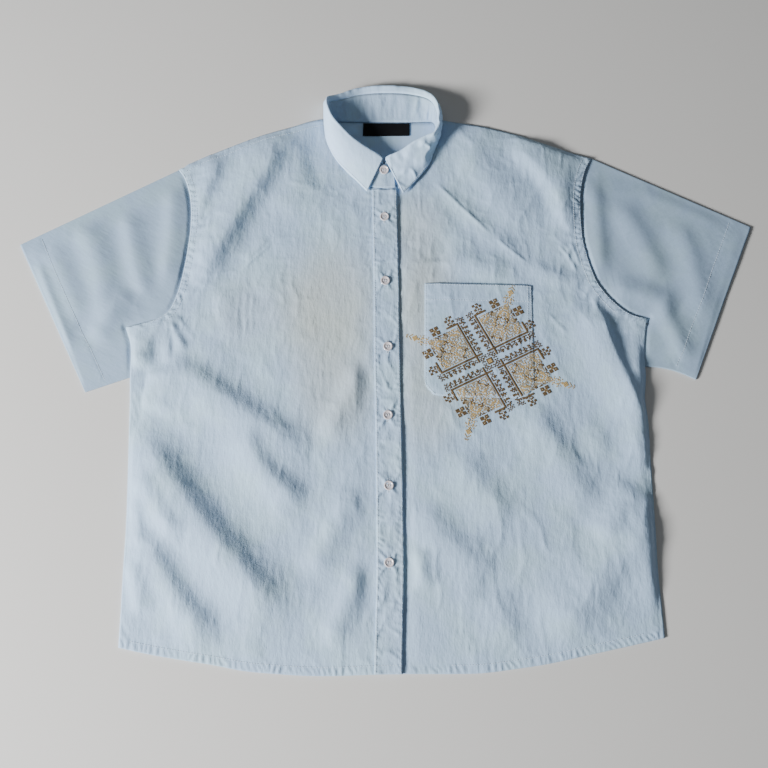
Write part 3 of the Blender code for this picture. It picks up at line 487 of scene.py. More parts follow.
def along(points, share, main_axis=None):
    """The points at some shares of a line's length. With a main axis, steps off it count less."""
    points = np.array(points, float)
    steps = np.linalg.norm(np.diff(points, axis=0), axis=1)
    if main_axis is not None:
        moves = np.abs(np.diff(points, axis=0))
        steps = moves[:, main_axis] + CROSS_WEIGHT * moves[:, 1 - main_axis]
    far = np.concatenate([[0.0], np.cumsum(steps)])
    at = np.asarray(share) * far[-1]
    return np.stack([np.interp(at, far, points[:, k]) for k in range(points.shape[1])], axis=-1)


def nearest(points, x, y):
    """Distance to a line, the run along it to its nearest point, and the side: +1 is its left."""
    points = np.array(points, float)
    best, run, side = np.full(np.shape(x), 1e9), np.zeros(np.shape(x)), np.ones(np.shape(x))
    start = 0.0
    for a, b in zip(points[:-1], points[1:]):
        step = b - a
        size = np.hypot(*step)
        px, py = x - a[0], y - a[1]
        t = np.clip((px * step[0] + py * step[1]) / size**2, 0, 1)
        away = np.hypot(px - t * step[0], py - t * step[1])
        closer = away < best
        best = np.where(closer, away, best)
        run = np.where(closer, start + t * size, run)
        side = np.where(closer, np.sign(step[0] * py - step[1] * px), side)
        start += size
    return best, run, side


def distance_to(points, x, y):
    return nearest(points, x, y)[0]


def clear_of(outline, x, y):
    """How far each point lies outside a closed outline, and 0 inside it."""
    inside = np.zeros(np.shape(x), bool)
    for (ax, ay), (bx, by) in zip(outline, outline[1:] + outline[:1]):
        if ay != by:
            inside ^= ((ay > y) != (by > y)) & (x < ax + (y - ay) * (bx - ax) / (by - ay))
    return np.where(inside, 0.0, distance_to(outline, x, y))


def offset(points, by):
    """The line moved to its left by a distance."""
    points = np.array(points, float)
    ahead = np.gradient(points, axis=0)
    ahead /= np.linalg.norm(ahead, axis=1)[:, None]
    return points + by * np.column_stack([-ahead[:, 1], ahead[:, 0]])


def outline_area(*edges):
    """Area inside edges that follow one another, in square metres."""
    x, y = np.concatenate([np.array(e, float) for e in edges]).T
    return abs(np.dot(x, np.roll(y, -1)) - np.dot(y, np.roll(x, -1))) / 2 * MM * MM


def fold_height(x, y, folds, widen=1.0):
    total = np.zeros(np.shape(x))
    for row in folds:
        fold = dict(zip(FOLD_COLUMNS, row))
        first, middle, last = (np.array([fold["x" + n], fold["y" + n]], float) for n in "123")
        bend = 2 * middle - (first + last) / 2
        t = np.linspace(0.0, 1.0, FOLD_POINTS)[:, None]
        crest = (1 - t) ** 2 * first + 2 * t * (1 - t) * bend + t**2 * last
        reach = FOLD_REACH * widen * max(fold["left_spread"], fold["right_spread"])
        low, high = crest.min(axis=0) - reach, crest.max(axis=0) + reach
        near = (x > low[0]) & (x < high[0]) & (y > low[1]) & (y < high[1])
        if not near.any():
            continue
        away, run, side = nearest(crest, x[near], y[near])
        spread = widen * np.where(side > 0, fold["left_spread"], fold["right_spread"])
        share = run / line_length(crest)
        ends = smooth(share * FOLD_ENDS) * smooth((1 - share) * FOLD_ENDS)
        total[near] += fold["rise"] * bell(away / spread) * ends
    return total


# The cloth's heights over the table, in millimetres.


def at_least(least, share):
    """A share from 0 to 1, squeezed into the range from least to 1."""
    return least + (1 - least) * share


def off_collar(x, y):
    radius = np.hypot((x - COLLAR_CENTRE[0]) / COLLAR_REACH[0], (y - COLLAR_CENTRE[1]) / COLLAR_REACH[1])
    return smooth((radius - 1.0) / COLLAR_FADE)


def off_pocket(x, y):
    x0, y0, x1, y1 = POCKET_CALM
    inside = np.minimum(np.minimum(x - x0, x1 - x), np.minimum(y - y0, y1 - y))
    return 1 - (1 - POCKET_FOLD_SHARE) * smooth(inside / POCKET_FADE)


def front_height(x, y, side, armhole, hem, shoulder, folds):
    """Height of a front's lower face: flat on what it covers, with its puff and folds."""
    low_side = [p for p in side if p[1] > UNDERARM_END]
    to_armhole = distance_to(armhole, x, y)
    to_sleeve = np.minimum(to_armhole, distance_to(low_side, x, y))
    from_hem = distance_to(hem, x, y)
    from_edge = np.minimum(distance_to(side, x, y), distance_to(shoulder, x, y))
    inner = smooth(from_edge / EDGE_ROUND) * smooth(from_hem / HEM_CALM)
    edge = smooth(np.minimum(from_edge, from_hem) / EDGE_FADE)
    edge = edge * at_least(ARMHOLE_FOLD_SHARE, smooth(to_armhole / ARMHOLE_FADE))
    rest = BED + (LAP - BED) * (1 - smooth((to_sleeve - ARMHOLE_FLAT) / ARMHOLE_LAP_BAND))
    fold = FOLD_LIFT * off_pocket(x, y) * edge * fold_height(x, y, folds, FOLD_WIDEN)
    return np.maximum(rest + off_collar(x, y) * (PUFF * inner + fold), rest)


def gathers(name, away, run, seed):
    """Short uneven puckers across a seam."""
    gather = dict(zip(GATHER_COLUMNS, GATHERS[name]))
    pitch = gather["pitch"]
    phase = (run + gather["lean"] * away) / pitch + GATHER_DRIFT * noise(run / (1.7 * pitch), away / 14, seed)
    uneven = 1 - GATHER_UNEVEN + GATHER_UNEVEN * noise(run / (3.1 * pitch), away * 0, seed + 1)
    wave = np.sin(2 * math.pi * phase) * bell((away - gather["start"]) / gather["spread"])
    return gather["depth"] * uneven * wave


def turned_edge(name, away):
    """The thicker band of a turned-in edge, and the groove where it is stitched."""
    width, thick = TURNED[name]
    return thick * (1 - smooth((away - width) / 1.6)) - 0.3 * bell((away - width + 0.6) / 1.3)


def rolled_edge(name, away):
    """How far the cloth curves down beside an edge."""
    band, drop = ROLLED[name]
    return drop * (1 - smooth(away / band))


def lumps(name, x, y, seed):
    """Soft uneven heights."""
    lump = dict(zip(LUMP_COLUMNS, LUMPS[name]))
    across, up = x + lump["slant_x"] * y, y + lump["slant_y"] * x
    return lump["height"] * noise(across / lump["wide"], up / lump["tall"], seed)


def crumple(name, x, y, seed):
    """Small creases of worn cotton, with sharp crests."""
    size, height = CRUMPLES[name]
    warp_x, warp_y = x + 9 * noise(x / 34, y / 34, seed), y + 9 * noise(x / 34, y / 34, seed + 1)
    crest = 1 - np.abs(noise(warp_x / size, warp_y / (1.5 * size), seed + 2))
    return height * (crest**3 - 0.4)


def front_relief(x, y, side, armhole, hem, shoulder, seed, crumpled):
    """What lies on a front besides its folds: seams, puckers and small creases."""
    to_hem, hem_run, _ = nearest(hem, x, y)
    to_armhole, armhole_run, _ = nearest(armhole, x, y)
    to_side, side_run, _ = nearest(side, x, y)
    to_shoulder = distance_to(shoulder, x, y)
    total = turned_edge("hem", to_hem) + gathers("hem", to_hem, hem_run, seed)
    total += turned_edge("armhole", to_armhole) + gathers("armhole", to_armhole, armhole_run, seed + 3)
    total += gathers("armhole_far", to_armhole, armhole_run, seed + 4)
    total += gathers("side", to_side, side_run, seed + 5)
    calm = smooth(to_hem / CALM["hem"]) * smooth(to_armhole / CALM["armhole"])
    soft = lumps("front", x, y, seed + 7) + lumps("front_small", x, y, seed + 8)
    total += calm * at_least(CALM["least_by_collar"], off_collar(x, y)) * soft
    creased = crumple("front", x, y, seed + 9) + crumple("front_small", x, y, seed + 12)
    total += crumpled * at_least(CALM["least_by_seams"], calm) * creased
    total *= at_least(CALM["least_on_edge"], smooth(to_armhole / CALM["armhole_edge"]))
    total -= rolled_edge("side", np.minimum(to_side, to_shoulder))
    return total - rolled_edge("hem", np.minimum(to_hem, to_armhole))


def back_top(x, y):
    return BACK_TOP + lumps("back", x, y, 3)


def placket_edge(y):
    """The right front's centre edge."""
    return np.interp(y, *np.array(RIGHT_CENTRE).T[::-1])


def right_front_height(x, y):
    from_centre = placket_edge(y) - PLACKET_WIDTH - x
    lapped = BED + (LAP - BED) * (1 - smooth(from_centre / CENTRE_LAP_BAND))
    height = front_height(x, y, RIGHT_SIDE, RIGHT_ARMHOLE, RIGHT_HEM, RIGHT_SHOULDER, RIGHT_FOLDS)
    start, band = RIGHT_CENTRE_FADE
    return np.maximum(lapped, lapped + (height - BED) * smooth((from_centre - start) / band))


def left_front_height(x, y):
    height = front_height(x, y, LEFT_SIDE, LEFT_ARMHOLE, LEFT_HEM, LEFT_SHOULDER, LEFT_FOLDS)
    start, band = LEFT_CENTRE_FADE
    return BED + (height - BED) * smooth((x - placket_edge(y) - start) / band)


def right_top(x, y):
    from_centre = placket_edge(y) - PLACKET_WIDTH - x
    relief = front_relief(x, y, RIGHT_SIDE, RIGHT_ARMHOLE, RIGHT_HEM, RIGHT_SHOULDER, 20, RIGHT_CRUMPLED)
    relief = (relief + CREASE_LIFT * fold_height(x, y, RIGHT_CREASES)) * smooth((from_centre + 1) / 6)
    relief += gathers("right_centre", from_centre, y, 31) * (from_centre > 0)
    return WALL + right_front_height(x, y) + np.maximum(relief, -LEAST_DROP)


def left_top(x, y):
    under_placket = x - placket_edge(y) < LEFT_CENTRE_FADE[0]
    relief = front_relief(x, y, LEFT_SIDE, LEFT_ARMHOLE, LEFT_HEM, LEFT_SHOULDER, 50, LEFT_CRUMPLED)
    relief += CREASE_LIFT * fold_height(x, y, LEFT_CREASES)
    relief = np.where(under_placket, np.minimum(relief, 0.2), relief) * off_pocket(x, y)
    return WALL + left_front_height(x, y) + np.maximum(relief, -LEAST_DROP)


def placket_top(x, y):
    right = placket_edge(y) + PLACKET_OVERHANG
    from_right, from_left = right - x, x - right + PLACKET_WIDTH
    near = np.minimum(from_right, from_left)
    relief = turned_edge("placket", near)
    relief += gathers("placket_left", from_left, y, 71) + gathers("placket_right", from_right, y, 74)
    relief += crumple("placket", x, y, 77) + lumps("placket", x, y, 79) + lumps("placket_small", x, y, 80)
    for number, button in enumerate(BUTTONS):
        for row in BUTTON_PULLS:
            pull = dict(zip(PULL_COLUMNS, row))
            angle = math.radians(pull["turn"] + PULL_STRAY * math.sin(3.7 * number + pull["turn"]))
            ahead = np.array((math.sin(angle), math.cos(angle)))
            away, run, _ = nearest((button + PULL_START * ahead, button + pull["length"] * ahead), x, y)
            relief += PULL_HEIGHT * bell(away / PULL_WIDTH) * (1 - smooth(run / pull["length"]))
    relief *= at_least(CALM["least_on_edge"], smooth(from_right / PLACKET_EDGE_CALM))
    relief -= rolled_edge("placket", near)
    return LAYER + WALL + right_front_height(x, y) + np.maximum(relief, -PLACKET_LEAST)


def pocket_top(x, y):
    top, run, _ = nearest(POCKET_TOP, x, y)
    to_rim, rim_run, _ = nearest(POCKET_RIM, x, y)
    relief = turned_edge("pocket_top", top) + turned_edge("pocket_rim", to_rim)
    relief += gathers("pocket_top", top, run, 91) + gathers("pocket_rim", to_rim, rim_run, 93)
    relief += (crumple("pocket", x, y, 95) + lumps("pocket", x, y, 97)) * smooth(to_rim / 6)
    from_rim, from_top = POCKET_PUFF_BANDS
    relief += POCKET_PUFF * smooth(to_rim / from_rim) * smooth(1 - top / from_top)
    height = LAYER + WALL + left_front_height(x, y) + np.maximum(relief, -POCKET_LEAST)
    return height - rolled_edge("pocket", to_rim)


# Meshes.


def along_pieces(pieces, share, main_axis=None):
    total = sum(cells for _, cells in pieces)
    at = np.asarray(share) * total
    result = np.zeros((*np.shape(at), 2))
    first = 0
    for points, cells in pieces:
        local = np.clip((at - first) / cells, 0.0, 1.0)
        inside = at >= first - 1e-9
        result[inside] = along(points, local, main_axis)[inside]
        first += cells
    return result


def coons(bottom, top, left, right, u, v):
    """Fills the patch between the points of four edges."""
    u, v = u[None, :, None], v[:, None, None]
    return (
        (1 - v) * bottom[None] + v * top[None] + (1 - u) * left[:, None] + u * right[:, None]
        - (1 - u) * (1 - v) * bottom[0] - u * (1 - v) * bottom[-1] - (1 - u) * v * top[0] - u * v * top[-1]
    )


def panel_points(edges, coarse, fine, uneven=None):
    """An evened-out grid of points between four edges, made coarse and carried over to a fine one."""
    edges = [[(rounded(points), cells) for points, cells in edge] for edge in edges]

    def edge_points(columns, rows, stops=None):
        stops = stops or ((0, 0.0), (rows, 1.0))
        u, v = np.linspace(0, 1, columns + 1), np.interp(np.arange(rows + 1), *zip(*stops))
        ends = [along_pieces(edges[0], u, 0), along_pieces(edges[1], u, 0)]
        return (*ends, along_pieces(edges[2], v), along_pieces(edges[3], v), u, v)

    points = coons(*edge_points(*coarse))
    for _ in range(RELAX_ROUNDS):
        across = (points[1:-1, 2:] - points[1:-1, :-2]) / 2
        upwards = (points[2:, 1:-1] - points[:-2, 1:-1]) / 2
        a = (upwards**2).sum(-1, keepdims=True)
        b = (across * upwards).sum(-1, keepdims=True)
        c = (across**2).sum(-1, keepdims=True)
        skew = points[2:, 2:] - points[2:, :-2] - points[:-2, 2:] + points[:-2, :-2]
        even = a * (points[1:-1, 2:] + points[1:-1, :-2]) + c * (points[2:, 1:-1] + points[:-2, 1:-1]) - b / 2 * skew
        points[1:-1, 1:-1] = (points[1:-1, 1:-1] + even / (2 * (a + c))) / 2
    bottom, top, left, right, u, v = edge_points(*fine, uneven)
    grid = spline(points, v * coarse[1])
    grid = spline(grid.swapaxes(0, 1), u * coarse[0]).swapaxes(0, 1)
    return grid + coons(bottom - grid[0], top - grid[-1], left - grid[:, 0], right - grid[:, -1], u, v)


def add_object(name, data):
    made = bpy.data.objects.new(name, data)
    bpy.context.scene.collection.objects.link(made)
    return made


def mesh_piece(name, points, faces, material):
    """An object from points in millimetres of the tables' frame."""
    placed = (np.asarray(points, float).reshape(-1, 3) - (0, MIDDLE_Y, 0)) * MM
    mesh = bpy.data.meshes.new(name)
    mesh.from_pydata(placed.tolist(), [], [list(map(int, face)) for face in faces])
    mesh.polygons.foreach_set("use_smooth", [True] * len(mesh.polygons))
    mesh.materials.append(material)
    piece = add_object(name, mesh)
    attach(piece, "root")
    return piece


def grid_faces(rows, columns, close=False):
    """Quads of a grid of points, closed round its columns if asked."""
    index = np.arange(rows * columns).reshape(rows, columns)
    if close:
        index = np.column_stack([index, index[:, :1]])
    return np.stack([index[:-1, :-1], index[:-1, 1:], index[1:, 1:], index[1:, :-1]], -1).reshape(-1, 4)


def shell(name, points, material, side=-1.0, thickness=None, close=False):
    """A thin cloth shell with the given points on one face."""
    rows, columns = points.shape[:2]
    piece = mesh_piece(name, points, grid_faces(rows, columns, close), material)
    wall = piece.modifiers.new("cloth", "SOLIDIFY")
    wall.thickness = thickness or sizes().cloth
    wall.offset = side
    wall.use_even_offset = False
    return piece


def panel(name, xy, height, look):
    """A shell over a grid of places, at the height that a function gives."""
    x, y = xy[..., 0], xy[..., 1]
    return shell(name, np.dstack([x, y, height(x, y)]), material(look))


def cloth(piece, node, flat, rests_on, area=None, slot="cotton_blue"):
    """Hides the solid that a cloth piece stands for. The piece, its flat size, what it rests on, its area and its
    slot are not used.
    """
    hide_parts(node)


def thread_bars(name, starts, ends, ups, width, height, look):
    """Short arched threads from starts to ends, which rise along ups. Sizes are in millimetres."""
    starts, ends, ups = (np.asarray(a, float).reshape(-1, 3) for a in (starts, ends, ups))
    across = np.cross(unit(ends - starts), ups) * width / 2
    rings = []
    for row in THREAD_RINGS:
        ring = dict(zip(THREAD_RING_COLUMNS, row))
        centre = starts + (ends - starts) * ring["share"] + ups * ring["rise"] * height
        rings.append(centre - across * ring["wide"])
        rings.append(centre + ups * height * (0.3 + 0.7 * ring["wide"]))
        rings.append(centre + across * ring["wide"])
    points = np.stack(rings, axis=1)
    pattern = [(2, 1, 0), (9, 10, 11)]
    for ring in range(0, 9, 3):
        for a, b in ((0, 1), (1, 2), (2, 0)):
            pattern.append((ring + a, ring + b, ring + b + 3, ring + a + 3))
    faces = [[v + 12 * n for v in face] for n in range(len(starts)) for face in pattern]
    piece = mesh_piece(name, points, faces, material(look))


def on_top(height, p, rise=STITCH_LIFT):
    """Places on the table, lifted to just above a height function."""
    return np.column_stack([p, height(p[:, 0], p[:, 1]) + rise])


def stitches(line):
    """Where the stitches of a seam start and end along its line."""
    stitch = sizes().stitch / MM
    count = int(line_length(line) / (stitch + STITCH_GAP))
    begin = np.arange(count) / count
    return [along(line, shares) for shares in (begin, begin + stitch / (stitch + STITCH_GAP) / count)]


def flat_seam(line, height):
    """Starts and ends of the stitches that follow a line over a height function."""
    return [on_top(height, p) for p in stitches(line)]


def raised_seam(line, rise=STITCH_LIFT):
    """Starts and ends of the stitches along a line of points in space."""
    return [p + (0.0, 0.0, rise) for p in stitches(line)]


def stitched(name, seams):
    """One piece from the stitches of several seams."""
    starts, ends = (np.concatenate(group) for group in zip(*seams))
    width = sizes().thread / MM
    thread_bars(name, starts, ends, upright(starts), width, width * 0.5, "sewing_thread")


# Materials.


class Wire:
    """A shader socket that Python's operators turn into Math nodes."""

    def __init__(self, shop, socket):
        self.shop, self.socket = shop, socket

    def maths(self, operation, a, b):
        return self.shop.node("Math", {"operation": operation}, {0: a, 1: b})

    def __add__(self, other):
        return self.maths("ADD", self, other)

    __radd__ = __add__

    def __sub__(self, other):
        return self.maths("SUBTRACT", self, other)

    def __rsub__(self, other):
        return self.maths("SUBTRACT", other, self)

    def __mul__(self, other):
        return self.maths("MULTIPLY", self, other)

    __rmul__ = __mul__


class Shop:
    """Makes the nodes of one material."""

    def __init__(self, name):
        self.material = bpy.data.materials.new(name)
        self.material.use_nodes = True
        self.tree = self.material.node_tree
        self.shader = self.tree.nodes["Principled BSDF"]

    def node(self, kind, settings=None, values=None, output=0):
        made = self.tree.nodes.new("ShaderNode" + kind)
        for key, value in (settings or {}).items():
            setattr(made, key, value)
        for key, value in (values or {}).items():
            self.feed(made.inputs[key], value)
        return Wire(self, made.outputs[output])

    def feed(self, socket, value):
        if isinstance(value, Wire):
            self.tree.links.new(value.socket, socket)
        elif hasattr(socket.default_value, "__len__") and len(socket.default_value) == 4 and len(value) == 3:
            socket.default_value = (*value, 1.0)
        else:
            socket.default_value = value

    def mix(self, share, a, b):
        """A colour between a and b. The node's colour sockets are found by number."""
        return self.node("Mix", {"data_type": "RGBA"}, {"Factor": share, 6: a, 7: b}, output=2)

    def shade(self, colour, value):
        """A colour made lighter or darker."""
        return self.node("HueSaturation", {}, {"Color": colour, "Value": value})

    def ribs(self, where, axis, scale):
        return self.node("TexWave", {"bands_direction": axis}, {"Vector": where, "Scale": scale})

    def vector(self, operation, a, b):
        return self.node("VectorMath", {"operation": operation}, {0: a, 1: b})

    def place(self, turn=0.0, stretch=(1, 1, 1)):
        """The object's own coordinates in metres, turned and stretched."""
        where = self.node("TexCoord", output="Object")
        turned = self.node("VectorRotate", {"rotation_type": "Z_AXIS"}, {"Vector": where, "Angle": turn})
        return self.vector("MULTIPLY", turned, stretch)

    def noise(self, where, scale, detail=2.0, rough=0.5):
        values = {"Vector": where, "Scale": scale, "Detail": detail, "Roughness": rough}
        return self.node("TexNoise", {}, values)

    def within(self, value, low, high):
        """0 below low, 1 above high, soft between them."""
        values = {"Value": value, "From Min": low, "From Max": high}
        return self.node("MapRange", {"interpolation_type": "SMOOTHSTEP"}, values)

    def spot(self, centre, reach):
        """1 at a centre on the table, fading to 0 at an ellipse round it. Both are in millimetres."""
        where = self.node("TexCoord", output="Object")
        middle = (centre[0] * MM, (centre[1] - MIDDLE_Y) * MM, 0)
        apart = self.vector("SUBTRACT", where, middle)
        apart = self.vector("MULTIPLY", apart, (1000 / reach[0], 1000 / reach[1], 0))
        far = self.node("VectorMath", {"operation": "LENGTH"}, {0: apart}, output="Value")
        return 1 - self.within(far, 0.2, 1.0)

    def bump(self, height, strength, distance, under=None):
        values = {"Height": height, "Strength": strength, "Distance": distance}
        if under is not None:
            values["Normal"] = under
        return self.node("Bump", {}, values)

    def finish(self, base, rough, normal=None, **constants):
        self.feed(self.shader.inputs["Base Color"], base)
        self.feed(self.shader.inputs["Roughness"], rough)
        if normal is not None:
            self.feed(self.shader.inputs["Normal"], normal)
        for key, value in constants.items():
            self.shader.inputs[key.replace("_", " ")].default_value = value
        return self.material


WARM_SPOT_COLUMNS = ("x", "y", "wide", "tall", "share")
WARM_SPOTS = (
    (-70, 60, 92, 130, 0.85), (-62, -40, 70, 90, 0.6), (44, 60, 62, 150, 0.75), (34, 180, 60, 60, 0.4),
    (48, -60, 55, 80, 0.45), (-170, 60, 60, 70, 0.25),
)
WEAVE = 360.0  # threads' scale across the cloth


def cotton(name, turn=0.0, warm=False, crinkle=1.0, painted_light_level=0.9):
    """Light blue cotton: plain weave, slubs along the grain, soft tints and fine creases. Its brightness is scaled
    per piece, which paints light on the collar and shade on the sleeves.
    """
    shop, shade = Shop(name), colours()
    grain = shop.place(turn)
    slub = shop.noise(shop.place(turn, (1, 0.035, 1)), 620, 3.0, 0.6)
    pick = shop.noise(shop.place(turn, (0.05, 1, 1)), 560, 2.0)
    cloud = shop.noise(grain, 9, 3.0)
    patch = shop.within(shop.noise(grain, 16, 3.0), 0.42, 0.66)
    base = shop.mix(patch * 0.7, tuple(shade.cotton), tuple(shade.cool))
    if warm:
        mask = None
        for row in WARM_SPOTS:
            tint = dict(zip(WARM_SPOT_COLUMNS, row))
            spot = shop.spot((tint["x"], tint["y"]), (tint["wide"], tint["tall"])) * tint["share"]
            mask = spot if mask is None else 1 - (1 - mask) * (1 - spot)
        base = shop.mix(mask * (0.45 + cloud * 0.6), base, tuple(shade.warm))
    # The per-piece brightness factor is painted light and shade: above 1 it paints light, below 1 it paints shade.
    base = shop.shade(base, painted_light_level + slub * 0.13 + pick * 0.05 + cloud * 0.04)
    warp, weft = shop.ribs(grain, "X", WEAVE), shop.ribs(grain, "Y", WEAVE)
    crease = shop.noise(shop.place(turn, (1, 0.3, 1)), 170, 4.0, 0.62)
    folded = shop.noise(grain, 46, 4.0, 0.6)
    normal = shop.bump(folded, 0.45 * crinkle, 0.0026)
    normal = shop.bump(crease, 0.9 * crinkle, 0.0010, normal)
    normal = shop.bump(warp * weft * 0.3 + slub * 0.9 + pick * 0.8, 0.3 * crinkle, 0.0002, normal)
    constants = {"Sheen_Weight": 0.25, "Sheen_Roughness": 0.4, "Specular_IOR_Level": 0.25}
    return shop.finish(base, 0.82 + slub * 0.1, normal, **constants)


def floss(name, tone):
    """Cotton thread with a faint twist."""
    shop = Shop(name)
    grain = shop.noise(shop.place(), 900, 2.0)
    base = shop.shade(tuple(tone), 0.82 + grain * 0.36)
    normal = shop.bump(grain, 0.4, 0.0001)
    return shop.finish(base, 0.6 + grain * 0.15, normal, Sheen_Weight=0.15, Specular_IOR_Level=0.35)


def pearl(name):
    """Pinkish polyester with a pearly swirl."""
    shop = Shop(name)
    swirl = shop.noise(shop.place(0.4, (1, 0.35, 1)), 420, 4.0, 0.6)
    cloud = shop.noise(shop.place(), 130, 2.0)
    tone = tuple(colours().pearl)
    base = shop.mix(shop.within(swirl, 0.35, 0.7), tone, tuple(min(1, 1.14 * c) for c in tone))
    base = shop.mix(cloud * 0.35, base, (0.66, 0.66, 0.72))
    normal = shop.bump(swirl, 0.08, 0.0002)
    return shop.finish(base, 0.2 + swirl * 0.14, normal, Coat_Weight=0.4, Coat_Roughness=0.1)


def satin(name):
    """Black woven tape, left bare."""
    shop = Shop(name)
    ribs = shop.ribs(shop.place(), "Y", 520.0)
    fluff = shop.noise(shop.place(0, (1, 0.3, 1)), 900, 2.0)
    base = shop.shade(tuple(colours().label), 0.7 + fluff * 0.8)
    normal = shop.bump(ribs + fluff, 0.3, 0.00012)
    return shop.finish(base, 0.6 + fluff * 0.2, normal, Specular_IOR_Level=0.15)


def ground(name):
    shop = Shop(name)
    cloud = shop.noise(shop.place(), 2.2, 3.0)
    return shop.finish(shop.shade(tuple(colours().floor), 0.97 + cloud * 0.05), 0.9)


def material(name):
    """Makes each material once."""
    made = bpy.data.materials.get(name)
    if made:
        return made
    shade = colours()
    recipes = {
        "cotton_front": lambda: cotton(name, warm=True),
        "cotton_smooth": lambda: cotton(name, crinkle=0.45),
        "cotton_trim": lambda: cotton(name, crinkle=1.2),
        "cotton_pocket": lambda: cotton(name, crinkle=0.8),
        # Painted light: the collar's cotton is made brighter than the rest of the same cloth.
        "cotton_collar": lambda: cotton(name, crinkle=0.6, painted_light_level=1.28),
        # Painted shade: the sleeves' cotton is made darker than the rest of the same cloth.
        "cotton_sleeve_right": lambda: cotton(name, turn=math.radians(-60), crinkle=0.4, painted_light_level=0.68),
        "cotton_sleeve_left": lambda: cotton(name, turn=math.radians(62), crinkle=0.45, painted_light_level=0.68),
        "sewing_thread": lambda: floss(name, shade.thread),
        "floss_brown": lambda: floss(name, shade.brown),
        "floss_tan": lambda: floss(name, shade.tan),
        "floss_gold": lambda: floss(name, shade.gold),
        "pearl": lambda: pearl(name),
        "label_satin": lambda: satin(name),
        "floor": lambda: ground(name),
    }
    return recipes[name]()


# Collar.


def collar_stations():
    """Seam, roll, edge and bulge along the collar, at fine stations."""
    table = rounded(COLLAR, COLLAR_STEPS)
    return table[:, :3], table[:, 3:6], table[:, 6:9], table[:, 9:]


def strip_size(points):
    """Mean length and width of a strip given as rows of points, in metres."""
    long = np.linalg.norm(np.diff(points, axis=1), axis=-1).sum(axis=1).mean()
    wide = np.linalg.norm(np.diff(points, axis=0), axis=-1).sum(axis=0).mean()
    return long * MM, wide * MM


def fall_points():
    """The fall as rows of points, from the stand over the roll to the loose edge."""
    seam, roll, edge, bulge = collar_stations()
    up = unit(roll - seam)
    out = unit(np.cross(up, np.gradient(roll, axis=0)))
    start = seam + (roll - seam) * STAND_SHARE + up * FALL_SEAM_GAP
    half = out * ROLL_LOFT / 2
    centre = roll - up * ROLL_BACK + half
    rows = [start, (start + centre - half) / 2]
    for angle in np.linspace(0, math.pi, ROLL_ROWS):
        rows.append(centre - half * math.cos(angle) + up * ROLL_BACK * math.sin(angle))
    turned = rows[-1]
    swell = unit(np.column_stack([out[:, :2], np.maximum(out[:, 2], 0)])) * 2 * bulge
    handle = turned + (edge - turned) * FALL_HANDLE + swell
    for t in np.linspace(0, 1, LEAF_ROWS + 1)[1:]:
        rows.append((1 - t) ** 2 * turned + 2 * t * (1 - t) * handle + t**2 * edge)
    station = np.linspace(0, len(COLLAR) - 1, len(seam))[None, :]
    level = np.linspace(0, 1, len(rows))[:, None]
    before, after = BACK_STATIONS
    left_leaf = smooth((station - after + 1) / 4)
    behind = smooth((station - before + 1) / 2) * (1 - smooth((station - after) / 2))
    # The wearer's left leaf is the most worn, and the roll behind the neck is wavy.
    worn = (0.2 + 2.3 * left_leaf) * crumple("collar", station * 9 + level * 8, level * 60, 111)
    worn = worn + (0.2 + 0.8 * left_leaf) * noise(station * 1.7, level * 7, 113)
    worn = worn + behind * 1.1 * noise(station * 2.2 + level, level * 3, 117)
    loose = smooth(level / 0.12) * smooth((1 - level) / 0.08)
    points = np.stack(rows) + out[None] * (worn * loose * 0.8)[..., None]
    points[..., 2] = np.maximum(points[..., 2], FLOOR_CLEAR)
    return points


def stand_points():
    """The stand as rows of points, from the neck seam up."""
    seam, roll, _, _ = collar_stations()
    top = seam + (roll - seam) * STAND_SHARE
    share = np.linspace(0, 1, STAND_END_STEPS + 1)[:, None]

    def lengthened(line, right_end, left_end):
        before = right_end + (line[0] - right_end) * share[:-1]
        return np.concatenate([before, line, line[-1] + (left_end - line[-1]) * share[1:]])

    (seam, top) = (lengthened(line, *ends) for line, *ends in zip((seam, top), *np.array(STAND_ENDS)))
    level = np.linspace(0, 1, STAND_ROWS)[:, None, None]
    points = seam[None] * (1 - level) + top[None] * level
    out = unit(np.cross(top - seam, np.gradient(seam, axis=0)))
    run = np.linspace(0, 1, len(seam))[None, :]
    level = level[..., 0]
    waves = 1.1 * noise(run * 74, level * 1.3, 121) + 0.6 * noise(run * 150, level * 0.8, 123)
    rise = smooth(level / 0.3) * smooth((1 - level) / 0.2)
    return points + out[None] * (waves * rise)[..., None]


# Cross-stitch.


FLOSS = {"#": "brown", "t": "tan", "g": "gold"}
CHECK = (
    "#.#",
    ".#.",
    "#.#",
)
BAND = (
    "#...##..#...##..#...##..#..",
    "##..##..##..##..##..##..##.",
    "##.#.##.#.##.#.##.#.##.#.##",
    "...#...##...#...##...#...#.",
    "####.####.####.####.####.##",
)
LATTICE = (
    "t.ttt.t.tt.t",
    "t...t.t....t",
    "t.t.tt.ttt.t",
    "..t....t....",
    "ttt.tt.t.tt.",
    "....t..t.t.t",
    "tt.tt.tt.t.t",
    ".t.....t....",
    ".ttt.t.tt.tt",
    "...t.t...t..",
    "tt.t.ttt.t.t",
    ".......t...t",
)
ROSETTE = (
    "###.###",
    "#t#.###",
    "###t###",
    "..t#t..",
    "###t###",
    "###.#t#",
    "###.###",
)
CLUSTER = (
    "##.##..##",
    "##.##..##",
    "..t..##..",
    "##.#t##.#",
    "##.#...##",
    "..##.##..",
    ".....##..",
)
SPRAY = (
    "g.g..t..........",
    "..g.g...........",
    "..g.gg..t.......",
    "...g..g.g.......",
    "....g.gg........",
    ".......g.g......",
    "......g.........",
    ".......gg.......",
    "........gggg....",
    ".........ggg....",
    "..........gg.g..",
    "...........g.t..",
    ".............t..",
    ".............t.t",
    "..............tt",
)  # mirrored in its diagonal
